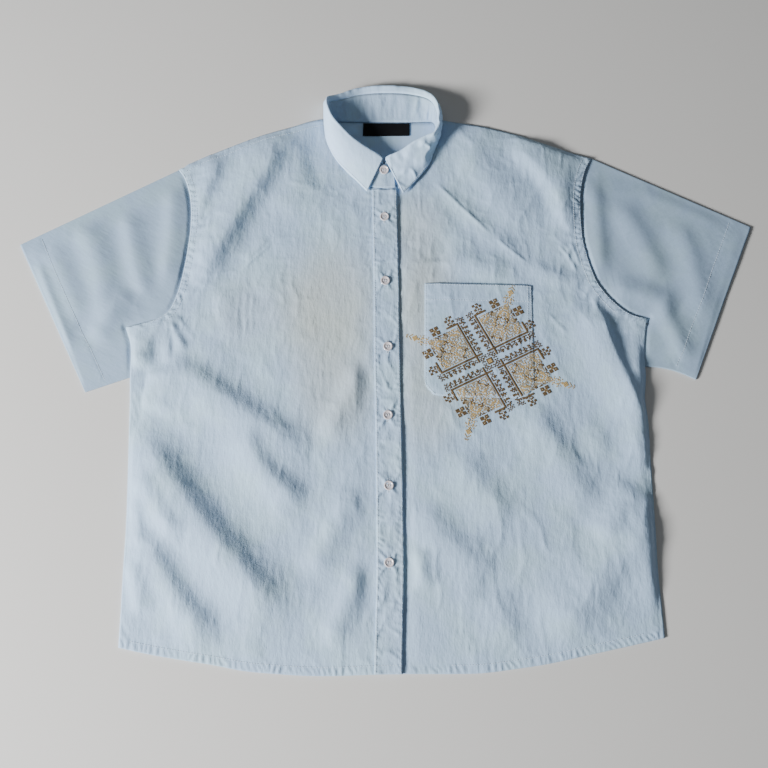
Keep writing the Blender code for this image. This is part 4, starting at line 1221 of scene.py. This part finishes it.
MOTIFS = (
    (CHECK, 4, 4), (CHECK, 4, 1), (CHECK, 10, 3), (BAND, 13, 2), (CHECK, 40, 2), (CHECK, 41, 5),
    (ROSETTE, 38, 24), (CLUSTER, 39, 10), (SPRAY, 34, 34),
)  # each with its first column and row
BAR, BAR_ENDS, STUB = 8, (3, 39), 18
PANEL = (10, 37)
ACCENT = (14, 17)  # the solid triangle in each panel's inner corner
STITCH_COLUMNS = ("floss", "width", "reach")  # sizes are shares of the chart's pitch
STITCHES = {
    "bar": ("floss_brown", 1.3, 1.0),
    "brown": ("floss_brown", 0.9, 0.68),
    "tan": ("floss_tan", 0.5, 0.6),
    "gold": ("floss_gold", 0.56, 0.6),
}


def ornament_chart():
    """Stitches of a square ornament in mirrored halves of four quarters: {(column, row): thread}."""
    quarter = {}

    def put(a, b, thread):
        quarter.setdefault((a, b), thread)
        quarter.setdefault((b, a), thread)

    for n in range(BAR_ENDS[0], BAR_ENDS[1] + 1):
        put(n, BAR, "bar")
    for n in range(BAR, STUB):
        put(BAR_ENDS[1], n, "bar")
    for motif, column, row in MOTIFS:
        for b, line in enumerate(motif):
            for a, mark in enumerate(line):
                if mark in FLOSS:
                    put(column + a, row + b, FLOSS[mark])
    for a in range(0, 3):
        for b in range(0, 3):
            put(a, b, "brown" if max(a, b) == 2 else "gold")
    for a in range(ACCENT[0], ACCENT[1]):
        for b in range(ACCENT[0], ACCENT[0] + ACCENT[1] - a):
            put(a, b, "gold")
    for a in range(*PANEL):
        for b in range(*PANEL):
            mark = LATTICE[(b - PANEL[0]) % len(LATTICE)][(a - PANEL[0]) % len(LATTICE[0])]
            if mark in FLOSS:
                shift = float(noise(np.array(a / 4), np.array(b / 4), 61))
                put(a, b, "gold" if shift > 0.25 else "brown" if shift < -0.5 else "tan")
    whole = {}
    for (a, b), thread in quarter.items():
        for sx in (-1, 1):
            for sy in (-1, 1):
                whole[(sx * a, sy * b)] = thread
    return whole


def ornament_stitches(pitch):
    """Chart cells as (x, y) centres on the table, with their threads."""
    chart = ornament_chart()
    cells = np.array(list(chart), float) * pitch
    turn, lean = ORNAMENT_TURN, ORNAMENT_TURN + ORNAMENT_LEAN
    x = ORNAMENT_CENTRE[0] + cells[:, 0] * math.cos(turn) - cells[:, 1] * math.sin(lean)
    y = ORNAMENT_CENTRE[1] + cells[:, 0] * math.sin(turn) + cells[:, 1] * math.cos(lean)
    return x, y, list(chart.values())


def pocket_cover(x, y):
    """1 over the pocket, 0 off it, with a short ramp down its edge."""
    inside = clear_of(POCKET_RIM, x, y) == 0
    return np.where(inside, smooth(distance_to(POCKET_RIM + POCKET_RIM[:1], x, y) / 0.7), 0.0)


def chest_top(x, y):
    cover = pocket_cover(x, y)
    return left_top(x, y) * (1 - cover) + pocket_top(x, y) * cover


# Operators, one for each piece or group of like pieces.


CAMERA_TARGET = (-0.003, -0.031, 0.0)
LIGHT_COLUMNS = ("name", "size", "away", "azimuth", "height")  # metres, and degrees round and over the table
LIGHTS = (
    ("key", 0.7, 2.6, 206, 27),
    ("fill", 3.0, 2.6, 100, 80),
)
SKY_COLOUR = (0.86, 0.93, 1.0, 1.0)
FLOOR_REACH, FLOOR_DROP = 3.0, 0.0002
BACK_SIDE_TOPS = (-25, -12)  # over these the back's right and left sides turn into its armholes
HEM_CELLS, SIDE_CELLS, SHOULDER_CELLS, NECK_CELLS = 7, 10, 5, 4
PLACKET_GRID, POCKET_GRID = (3, 34), (9, 10)
HOLE_REACH, HOLE_PACE = 8.2, 0.62  # a buttonhole's half length and the distance of its stitches
HOLE_INNER, HOLE_OUTER, HOLE_LEAN = 0.25, 1.35, 0.12
HOLE_THREAD = (0.5, 0.3)
EDGE_STEPS = 9  # columns round the folded edge of a sleeve
CAP_WIDTH = 270
BOW_BAND = 0.15  # the share of a sleeve's width over which the underarm bow fades
SLEEVE_LENGTH = 0.25
SHEET_LIMIT = 0.995  # a sheet's area stays under its flat size
BUTTON_PROFILE = (
    (0.0, 0.0), (4.4, 0.0), (5.2, 0.25), (5.65, 0.8), (5.75, 1.3), (5.6, 1.85), (5.2, 2.15),
    (4.7, 2.2), (4.25, 2.0), (3.8, 1.55), (3.2, 1.32), (0.0, 1.3),
)  # each with its radius and height
BUTTON_HOLE, BUTTON_HOLE_AWAY = 0.8, 1.91
BUTTON_THREAD_PLACE = 1.35  # from the middle along and across, and over the back
BUTTON_THREAD = (0.9, 0.45)
SEAM_COLUMNS = ("edge", "inset", "first", "last")
FRONT_SEAMS = {
    "right": (
        (RIGHT_HEM, HEM_WIDTH, 2, -1),
        (RIGHT_ARMHOLE, -ARMHOLE_WIDTH, 14, -3),
        (RIGHT_ARMHOLE, -1.4, 10, -1),
        (RIGHT_SHOULDER, -9.0, 4, -3),
    ),
    "left": (
        (LEFT_HEM, HEM_WIDTH, 12, -2),
        (LEFT_ARMHOLE, ARMHOLE_WIDTH + 1.5, 16, -3),
        (LEFT_ARMHOLE, 1.4, 6, -1),
    ),
}
PLACKET_SEAM, PLACKET_HEM = 2.0, -351.5
PLACKET_FOOT, PLACKET_HEAD = -359.6, (13.8, 219.0)  # where the placket's seams end
POCKET_SEAM, POCKET_SIDE_SEAM = 1.8, 5.6
POCKET_HEM_SEAMS = (
    ((48.5, 75), (175.5, 72.2)),
    ((48.5, 94.4), (177, 91.5)),
)
COLLAR_SEAM_RISE = 0.7  # as a share of the cloth's thickness
CROSS_RISES = ((45, 0.02), (135, 0.12))  # the two stitches of a cross: angle and height
CROSS_HEIGHT = 0.2


class Builder(bpy.types.Operator):
    """Runs build() and reports that it is done."""

    bl_options = {"REGISTER", "UNDO"}

    def execute(self, context):
        self.build()
        return {"FINISHED"}


class SHIRT_OT_stage(Builder):
    """Camera, floor and soft light"""

    bl_idname = "shirt.stage"
    bl_label = "Stage"

    def build(self):
        studio = bpy.context.scene.shirt_studio
        data = bpy.data.cameras.new("camera")
        data.lens, data.sensor_width = studio.lens, 36.0
        data.clip_start, data.clip_end = 0.01, 20.0
        camera = add_object("camera", data)
        back = np.array((0.0, -math.sin(studio.tilt), math.cos(studio.tilt)))
        camera.location = back * studio.distance + CAMERA_TARGET
        camera.rotation_euler = (studio.tilt, 0.0, 0.0)
        bpy.context.scene.camera = camera
        for row in LIGHTS:
            self.light(dict(zip(LIGHT_COLUMNS, row)), studio)
        world = bpy.data.worlds.new("sky")
        world.use_nodes = True
        even = world.node_tree.nodes["Background"]
        even.inputs["Color"].default_value = SKY_COLOUR
        even.inputs["Strength"].default_value = studio.sky
        bpy.context.scene.world = world
        mesh = bpy.data.meshes.new("floor")
        corners = [(x * FLOOR_REACH, y * FLOOR_REACH, -FLOOR_DROP) for x, y in ((-1, -1), (1, -1), (1, 1), (-1, 1))]
        mesh.from_pydata(corners, [], [(0, 1, 2, 3)])
        mesh.materials.append(material("floor"))
        floor = add_object("floor", mesh)

    def light(self, row, studio):
        """A square lamp that looks at the shirt from a compass angle and a height above the table."""
        data = bpy.data.lights.new(row["name"], "AREA")
        data.energy, data.size = getattr(studio, row["name"]), row["size"]
        lamp = add_object(row["name"], data)
        a, e = math.radians(row["azimuth"]), math.radians(row["height"])
        towards = np.array((math.cos(a) * math.cos(e), math.sin(a) * math.cos(e), math.sin(e)))
        lamp.location = towards * row["away"]
        lamp.rotation_euler = (math.pi / 2 - e, 0.0, a + math.pi / 2)


class SHIRT_OT_back(Builder):
    """Back panel, flat on the table"""

    bl_idname = "shirt.back"
    bl_label = "Back"

    def build(self):
        right = [p for p in RIGHT_SIDE if p[1] < BACK_SIDE_TOPS[0]] + [BACK_ARMHOLE_RIGHT[0]]
        left = [p for p in LEFT_SIDE if p[1] < BACK_SIDE_TOPS[1]] + [BACK_ARMHOLE_LEFT[0]]
        edges = (
            [(RIGHT_HEM, HEM_CELLS), (LEFT_HEM[1:], HEM_CELLS)],
            [(RIGHT_SHOULDER, SHOULDER_CELLS), (BACK_NECK, NECK_CELLS), (LEFT_SHOULDER[::-1], SHOULDER_CELLS)],
            [(right, SIDE_CELLS), (BACK_ARMHOLE_RIGHT, SIDE_CELLS)],
            [(left, SIDE_CELLS), (BACK_ARMHOLE_LEFT, SIDE_CELLS)],
        )
        xy = panel_points(edges, BACK_GRID, FINE_BACK)
        piece = panel("back_panel_cloth", xy, back_top, "cotton_smooth")
        area = outline_area(
            RIGHT_HEM, LEFT_HEM[1:], left, BACK_ARMHOLE_LEFT, LEFT_SHOULDER, BACK_NECK[::-1],
            RIGHT_SHOULDER[::-1], BACK_ARMHOLE_RIGHT[::-1], right[::-1],
        )
        cloth(piece, "back_panel", (0.63, 0.685), ["floor"], area)


class SHIRT_OT_fronts(Builder):
    """Both fronts, the right one on top"""

    bl_idname = "shirt.fronts"
    bl_label = "Fronts"

    def build(self):
        edges = (
            [(LEFT_HEM, 1)],
            [(LEFT_NECK[::-1], NECK_COLUMNS), (LEFT_SHOULDER[::-1], SHOULDER_COLUMNS)],
            [(LEFT_CENTRE, 1)],
            [(LEFT_SIDE, SIDE_ROWS), (LEFT_ARMHOLE, ARMHOLE_ROWS)],
        )
        area = outline_area(LEFT_HEM, LEFT_SIDE, LEFT_ARMHOLE, LEFT_SHOULDER, LEFT_NECK)
        self.front("front_left", edges, left_top, ["back_panel_cloth"], area)
        edges = (
            [(RIGHT_HEM, 1)],
            [(RIGHT_SHOULDER, SHOULDER_COLUMNS), (RIGHT_NECK, NECK_COLUMNS)],
            [(RIGHT_SIDE, SIDE_ROWS), (RIGHT_ARMHOLE, ARMHOLE_ROWS)],
            [(RIGHT_CENTRE, 1)],
        )
        area = outline_area(
            RIGHT_HEM, RIGHT_CENTRE, RIGHT_NECK[::-1], RIGHT_SHOULDER[::-1], RIGHT_ARMHOLE[::-1], RIGHT_SIDE[::-1]
        )
        self.front("front_right", edges, right_top, ["back_panel_cloth", "front_left_cloth"], area)

    def front(self, node, edges, height, rests_on, area):
        xy = panel_points(edges, FRONT_GRID, FINE_FRONT, FRONT_ROWS)
        piece = panel(node + "_cloth", xy, height, "cotton_front")
        cloth(piece, node, (0.335, 0.685), rests_on, area)


class SHIRT_OT_placket(Builder):
    """Button placket and its buttonholes"""

    bl_idname = "shirt.placket"
    bl_label = "Placket"

    def build(self):
        right = [(x + PLACKET_OVERHANG, min(y, PLACKET_TOP_Y)) for x, y in RIGHT_CENTRE]
        left = [(x - PLACKET_WIDTH, y) for x, y in right]
        edges = ([((left[0], right[0]), 1)], [((left[-1], right[-1]), 1)], [(left, 1)], [(right, 1)])
        xy = panel_points(edges, PLACKET_GRID, FINE_PLACKET)
        piece = panel("placket_cloth", xy, placket_top, "cotton_trim")
        cloth(piece, "placket", (0.0315, 0.582), ["front_right_cloth"])
        steps = np.arange(-HOLE_REACH, HOLE_REACH, HOLE_PACE)
        x, y, side = np.array([(x, y + step, side) for x, y in BUTTONS for step in steps for side in (-1, 1)]).T
        starts = on_top(placket_top, np.column_stack([x + side * HOLE_INNER, y]))
        ends = on_top(placket_top, np.column_stack([x + side * HOLE_OUTER, y + HOLE_LEAN]))
        thread_bars("buttonhole_stitches", starts, ends, upright(starts), *HOLE_THREAD, "sewing_thread")


class SHIRT_OT_pocket(Builder):
    """Chest pocket"""

    bl_idname = "shirt.pocket"
    bl_label = "Pocket"

    def build(self):
        edges = [[(edge, 1)] for edge in (POCKET_BOTTOM, POCKET_TOP, POCKET_LEFT, POCKET_RIGHT)]
        xy = panel_points(edges, POCKET_GRID, FINE_POCKET)
        piece = panel("chest_pocket_cloth", xy, pocket_top, "cotton_pocket")
        cloth(piece, "chest_pocket", (0.132, 0.142), ["front_left_cloth"])


class SHIRT_OT_sleeves(Builder):
    """Both sleeves, each a flattened tube"""

    bl_idname = "shirt.sleeves"
    bl_label = "Sleeves"

    def build(self):
        body = RIGHT_SIDE + RIGHT_ARMHOLE[1:] + ((0, RIGHT_ARMHOLE[-1][1]), (0, RIGHT_SIDE[0][1]))
        edges = (CUFF_RIGHT, SLEEVE_CAP_RIGHT, BACK_ARMHOLE_RIGHT, body)
        self.tube("sleeve_right", *edges, folds=SLEEVE_RIGHT_FOLDS, bow=0.0, seed=140)
        body = LEFT_SIDE + LEFT_ARMHOLE[1:] + ((0, LEFT_ARMHOLE[-1][1]), (0, LEFT_SIDE[0][1]))
        edges = (CUFF_LEFT, SLEEVE_CAP_LEFT, BACK_ARMHOLE_LEFT, body)
        self.tube("sleeve_left", *edges, folds=SLEEVE_LEFT_FOLDS, bow=UNDERARM_BOW, seed=160)

    def tube(self, node, cuff, cap, armhole, body, folds, bow, seed):
        radius = LAYER - SEAM_GAP / 2
        shares = np.linspace(0, 1, SLEEVE_COLUMNS + 1)[1:-1]
        outward = SEAM_OFFSET if cuff[0][0] > 0 else -SEAM_OFFSET
        lower_cap = [(x + outward, y) for x, y in rounded(armhole[::-1])]
        cap = rounded(cap)
        ring = np.interp(np.arange(SLEEVE_RINGS + 1), *zip(*RING_STOPS))
        width = np.linalg.norm(along(cuff, 1.0) - along(cuff, 0.0)) * (1 - ring) + CAP_WIDTH * ring

        def column(share, at, upper, z=None):
            """From the cuff to between the lower cap (upper is 0) and the cap (upper is 1)."""
            start, low, high = (along(line, at) for line in (cuff, lower_cap, cap))
            xy = start + (low + (high - low) * upper - start) * ring[:, None]
            xy[:, 1] += bow * np.sin(math.pi * ring) * smooth((share - 1 + BOW_BAND) / BOW_BAND)
            if z is None:
                z = self.top(xy, ring, share, cuff, body, folds, seed)
            return np.column_stack([xy, np.broadcast_to(z, ring.shape)])

        turned = [
            (radius * (1 - math.cos(a)) / width, (1 + math.sin(a)) / 2, radius + radius * math.sin(a))
            for a in np.radians(np.linspace(-90, 90, EDGE_STEPS))
        ]
        columns = [column(0.0, reach, upper, z) for reach, upper, z in turned]
        top = [column(share, share, 1) for share in shares]
        columns += top + [column(1.0, 1 - reach, upper, z) for reach, upper, z in turned[::-1]]
        columns += [column(share, share, 0, 0.0) for share in shares[::-1]]
        points = np.stack(columns, axis=1)
        if cuff[0][0] > 0:
            points = points[:, ::-1]
        piece = shell(node + "_cloth", points, material("cotton_" + node), close=True)
        seam = np.array([along(line, CUFF_HEM / line_length(line)) for line in top])
        stitched(node + "_hem_stitches", [raised_seam(seam[2:-2])])
        flat = (2 * line_length(along(cap, np.linspace(0, 1, 60))) * MM, SLEEVE_LENGTH)
        area = 2 * outline_area([tuple(p) for p in cap], cuff[::-1])
        cloth(piece, node, flat, ["floor"], min(area, SHEET_LIMIT * flat[0] * flat[1]))

    def top(self, xy, ring, share, cuff, body, folds, seed):
        """Height of the upper wall along one column."""
        x, y = xy[:, 0], xy[:, 1]
        free = smooth(clear_of(body, x, y) / SLEEVE_RISE_BAND)
        free = free * smooth(ring / CUFF_CALM) * smooth(min(share, 1 - share) / SLEEVE_EDGE_CALM)
        lift = free * (SLEEVE_PUFF + FOLD_LIFT * np.maximum(0.0, fold_height(x, y, folds, FOLD_WIDEN)))
        from_cuff, run, _ = nearest(cuff, x, y)
        covered = smooth((clear_of(body, x, y) - 1) / 4)
        relief = turned_edge("cuff", from_cuff) + gathers("cuff", from_cuff, run, seed)
        relief += lumps("sleeve", x, y, seed + 3) + crumple("sleeve", x, y, seed + 5)
        relief *= smooth(min(share, 1 - share) / 0.03) * covered
        return BED + WALL + lift + np.maximum(relief, -LEAST_DROP)


class SHIRT_OT_collar(Builder):
    """Collar stand and fall"""

    bl_idname = "shirt.collar"
    bl_label = "Collar"

    def build(self):
        below = ["front_right_cloth", "front_left_cloth"]
        self.strip("collar_stand", stand_points(), "cotton_trim", below)
        self.strip("collar_fall", fall_points(), "cotton_collar", ["collar_stand_cloth", *below])

    def strip(self, node, points, look, rests_on):
        piece = shell(node + "_cloth", points, material(look), side=0.0)
        cloth(piece, node, strip_size(points), rests_on)


class SHIRT_OT_label(Builder):
    """Bare neck label"""

    bl_idname = "shirt.label"
    bl_label = "Neck label"

    def build(self):
        u, v = np.meshgrid(*(np.linspace(-0.5, 0.5, count) for count in LABEL_GRID))
        x = LABEL_CENTRE[0] + u * LABEL_SIZE[0] + v * LABEL_SLANT
        y = LABEL_CENTRE[1] + v * LABEL_SIZE[1] + LABEL_SAG * u * u
        waves = 0.3 * noise(u * 5, v * 2, 7) * (1 - (2 * v) ** 2)
        ends = 0.25 * (1 - smooth((0.5 - np.abs(u)) / 0.05))
        points = np.dstack([x, y, LABEL_HEIGHT + waves + ends])
        piece = shell("neck_label_tape", points, material("label_satin"), thickness=LABEL_TAPE)
        cloth(piece, "neck_label", (0.06, 0.018), ["back_panel_cloth"], slot="label_black")


class SHIRT_OT_buttons(Builder):
    """Buttons with four holes, and the thread that holds them"""

    bl_idname = "shirt.buttons"
    bl_label = "Buttons"

    def build(self):
        mesh = self.blank()
        places = [(x, y, button_base(x, y), 0.0, f"button_{n}") for n, (x, y) in enumerate(BUTTONS, start=1)]
        places.append((*COLLAR_BUTTON, COLLAR_BUTTON_TILT, "button_collar"))
        starts, ends, ups = [], [], []
        away = BUTTON_THREAD_PLACE * MM
        for (x, y, z, tilt, node), turn in zip(places, BUTTON_TURNS):
            piece = add_object(node + "_pearl", mesh)
            piece.location = (x * MM, (y - MIDDLE_Y) * MM, z * MM)
            piece.rotation_euler = (tilt, 0.0, math.radians(turn))
            bpy.context.view_layer.update()
            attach(piece, "root")
            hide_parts(node)
            for side in (-away, away):
                for group, end in ((starts, -away), (ends, away)):
                    place = piece.matrix_world @ Vector((side, end, away))
                    group.append(np.array(place) / MM + (0, MIDDLE_Y, 0))
                ups.append(np.array(piece.matrix_world.to_3x3() @ Vector((0, 0, 1))))
        thread_bars("button_threads", starts, ends, ups, *BUTTON_THREAD, "sewing_thread")

    def blank(self):
        """A button's mesh: a turned profile with four holes."""
        mesh = bpy.data.meshes.new("button_profile")
        profile = [(r * MM, 0.0, z * MM) for r, z in BUTTON_PROFILE]
        mesh.from_pydata(profile, [(k, k + 1) for k in range(len(profile) - 1)], [])
        disc = add_object("button_disc", mesh)
        mesh.materials.append(material("pearl"))
        turn = disc.modifiers.new("turn", "SCREW")
        turn.steps = turn.render_steps = 48
        turn.use_merge_vertices = True
        turn.merge_threshold = 1e-5
        turn.use_normal_calculate = True
        bm = bmesh.new()
        hole = {"radius1": BUTTON_HOLE * MM, "radius2": BUTTON_HOLE * MM, "depth": 8 * MM}
        for k in range(4):
            angle = math.pi / 4 + k * math.pi / 2
            made = bmesh.ops.create_cone(bm, cap_ends=True, segments=16, **hole)
            centre = (BUTTON_HOLE_AWAY * math.cos(angle), BUTTON_HOLE_AWAY * math.sin(angle), 1.0)
            bmesh.ops.translate(bm, verts=made["verts"], vec=Vector(centre) * MM)
        cutter_mesh = bpy.data.meshes.new("button_holes")
        bm.to_mesh(cutter_mesh)
        bm.free()
        cutter = add_object("button_holes", cutter_mesh)
        cut = disc.modifiers.new("holes", "BOOLEAN")
        cut.operation, cut.solver, cut.object = "DIFFERENCE", "EXACT", cutter
        bpy.context.view_layer.update()
        made = bpy.data.meshes.new_from_object(disc.evaluated_get(bpy.context.evaluated_depsgraph_get()))
        for helper in (disc, cutter):
            bpy.data.objects.remove(helper, do_unlink=True)
        made.polygons.foreach_set("use_smooth", [True] * len(made.polygons))
        made.set_sharp_from_angle(angle=math.radians(40))
        return made


def button_base(x, y):
    """Height at which a button lies on the placket."""
    return float(right_front_height(np.array([float(x)]), np.array([float(y)]))[0]) + 2 * LAYER


class SHIRT_OT_seams(Builder):
    """Rows of stitches along every seam"""

    bl_idname = "shirt.seams"
    bl_label = "Seams"

    def build(self):
        self.front("right", right_top)
        self.front("left", left_top)
        right = [(x + PLACKET_OVERHANG, max(y, PLACKET_FOOT)) for x, y in RIGHT_CENTRE if y < PLACKET_HEAD[1]]
        right.append(PLACKET_HEAD)
        lines = [[(x - inset, y) for x, y in right] for inset in (PLACKET_SEAM, PLACKET_WIDTH - PLACKET_SEAM)]
        lines.append([(right[0][0] - PLACKET_WIDTH + 1, PLACKET_HEM), (right[0][0] - 1, PLACKET_HEM)])
        stitched("stitches_placket", [flat_seam(np.array(line), placket_top) for line in lines])
        lines = [offset(rounded(POCKET_RIM, 4), POCKET_SEAM), offset(rounded(POCKET_RIGHT, 4), POCKET_SIDE_SEAM)]
        lines += [np.array(line, float) for line in POCKET_HEM_SEAMS]
        stitched("stitches_pocket", [flat_seam(line, pocket_top) for line in lines])
        self.collar()

    def front(self, side, height):
        """Stitches along the hem, the armhole and the shoulder of a front."""
        seams = []
        for row in FRONT_SEAMS[side]:
            seam = dict(zip(SEAM_COLUMNS, row))
            line = offset(rounded(seam["edge"]), seam["inset"])[seam["first"]:seam["last"]]
            seams.append(flat_seam(line, height))
        stitched("stitches_front_" + side, seams)

    def collar(self):
        """Stitches beside the collar's loose edge and down the fronts of its leaves."""
        points = fall_points()
        leaf = points[ROLL_ROWS + 2:-1]
        lines = [points[-2]] + [leaf[:, end] * 0.2 + leaf[:, beside] * 0.8 for end, beside in ((0, 1), (-1, -2))]
        rise = sizes().cloth / MM * COLLAR_SEAM_RISE
        stitched("stitches_collar", [raised_seam(line, rise) for line in lines])


class SHIRT_OT_ornament(Builder):
    """Cross-stitch ornament over the pocket"""

    bl_idname = "shirt.ornament"
    bl_label = "Ornament"

    def build(self):
        pitch = sizes().cross / MM
        x, y, threads = ornament_stitches(pitch)
        for thread, row in STITCHES.items():
            kind = dict(zip(STITCH_COLUMNS, row))
            reach = kind["reach"] * pitch
            pick = np.array([t == thread for t in threads])
            centre = np.column_stack([x[pick], y[pick]])
            starts, ends = [], []
            for angle, rise in CROSS_RISES:
                a = math.radians(angle) + ORNAMENT_TURN
                arm = reach * np.array((math.cos(a), math.sin(a)))
                starts.append(on_top(chest_top, centre + arm, rise))
                ends.append(on_top(chest_top, centre - arm, rise))
            starts, ends = np.concatenate(starts), np.concatenate(ends)
            wide, high = kind["width"] * pitch, CROSS_HEIGHT * pitch
            thread_bars("cross_stitch_" + thread, starts, ends, upright(starts), wide, high, kind["floss"])


PIECES = (
    SHIRT_OT_stage, SHIRT_OT_back, SHIRT_OT_fronts, SHIRT_OT_placket, SHIRT_OT_pocket, SHIRT_OT_sleeves,
    SHIRT_OT_collar, SHIRT_OT_label, SHIRT_OT_buttons, SHIRT_OT_seams, SHIRT_OT_ornament,
)


class SHIRT_PT_panel(bpy.types.Panel):
    """Lists the shirt's settings and pieces"""

    bl_idname = "SHIRT_PT_panel"
    bl_label = "Shirt"
    bl_space_type = "VIEW_3D"
    bl_region_type = "UI"
    bl_category = "Shirt"

    def draw(self, context):
        for group in (context.scene.shirt_sizes, context.scene.shirt_colours, context.scene.shirt_studio):
            box = self.layout.box()
            for key in group.__annotations__:
                box.prop(group, key)
        for piece in PIECES:
            self.layout.operator(piece.bl_idname)


GROUPS = {"shirt_sizes": ShirtSizes, "shirt_colours": ShirtColours, "shirt_studio": ShirtStudio}


def register():
    for group in GROUPS.values():
        bpy.utils.register_class(group)
    for key, group in GROUPS.items():
        setattr(bpy.types.Scene, key, PointerProperty(type=group))
    for entry in (*PIECES, SHIRT_PT_panel):
        bpy.utils.register_class(entry)


def unregister():
    for entry in (SHIRT_PT_panel, *PIECES[::-1]):
        bpy.utils.unregister_class(entry)
    for key, group in GROUPS.items():
        delattr(bpy.types.Scene, key)
        bpy.utils.unregister_class(group)


def main():
    register()
    for piece in PIECES:
        area, _, name = piece.bl_idname.partition(".")
        getattr(getattr(bpy.ops, area), name)()


if __name__ == "__main__":
    main()
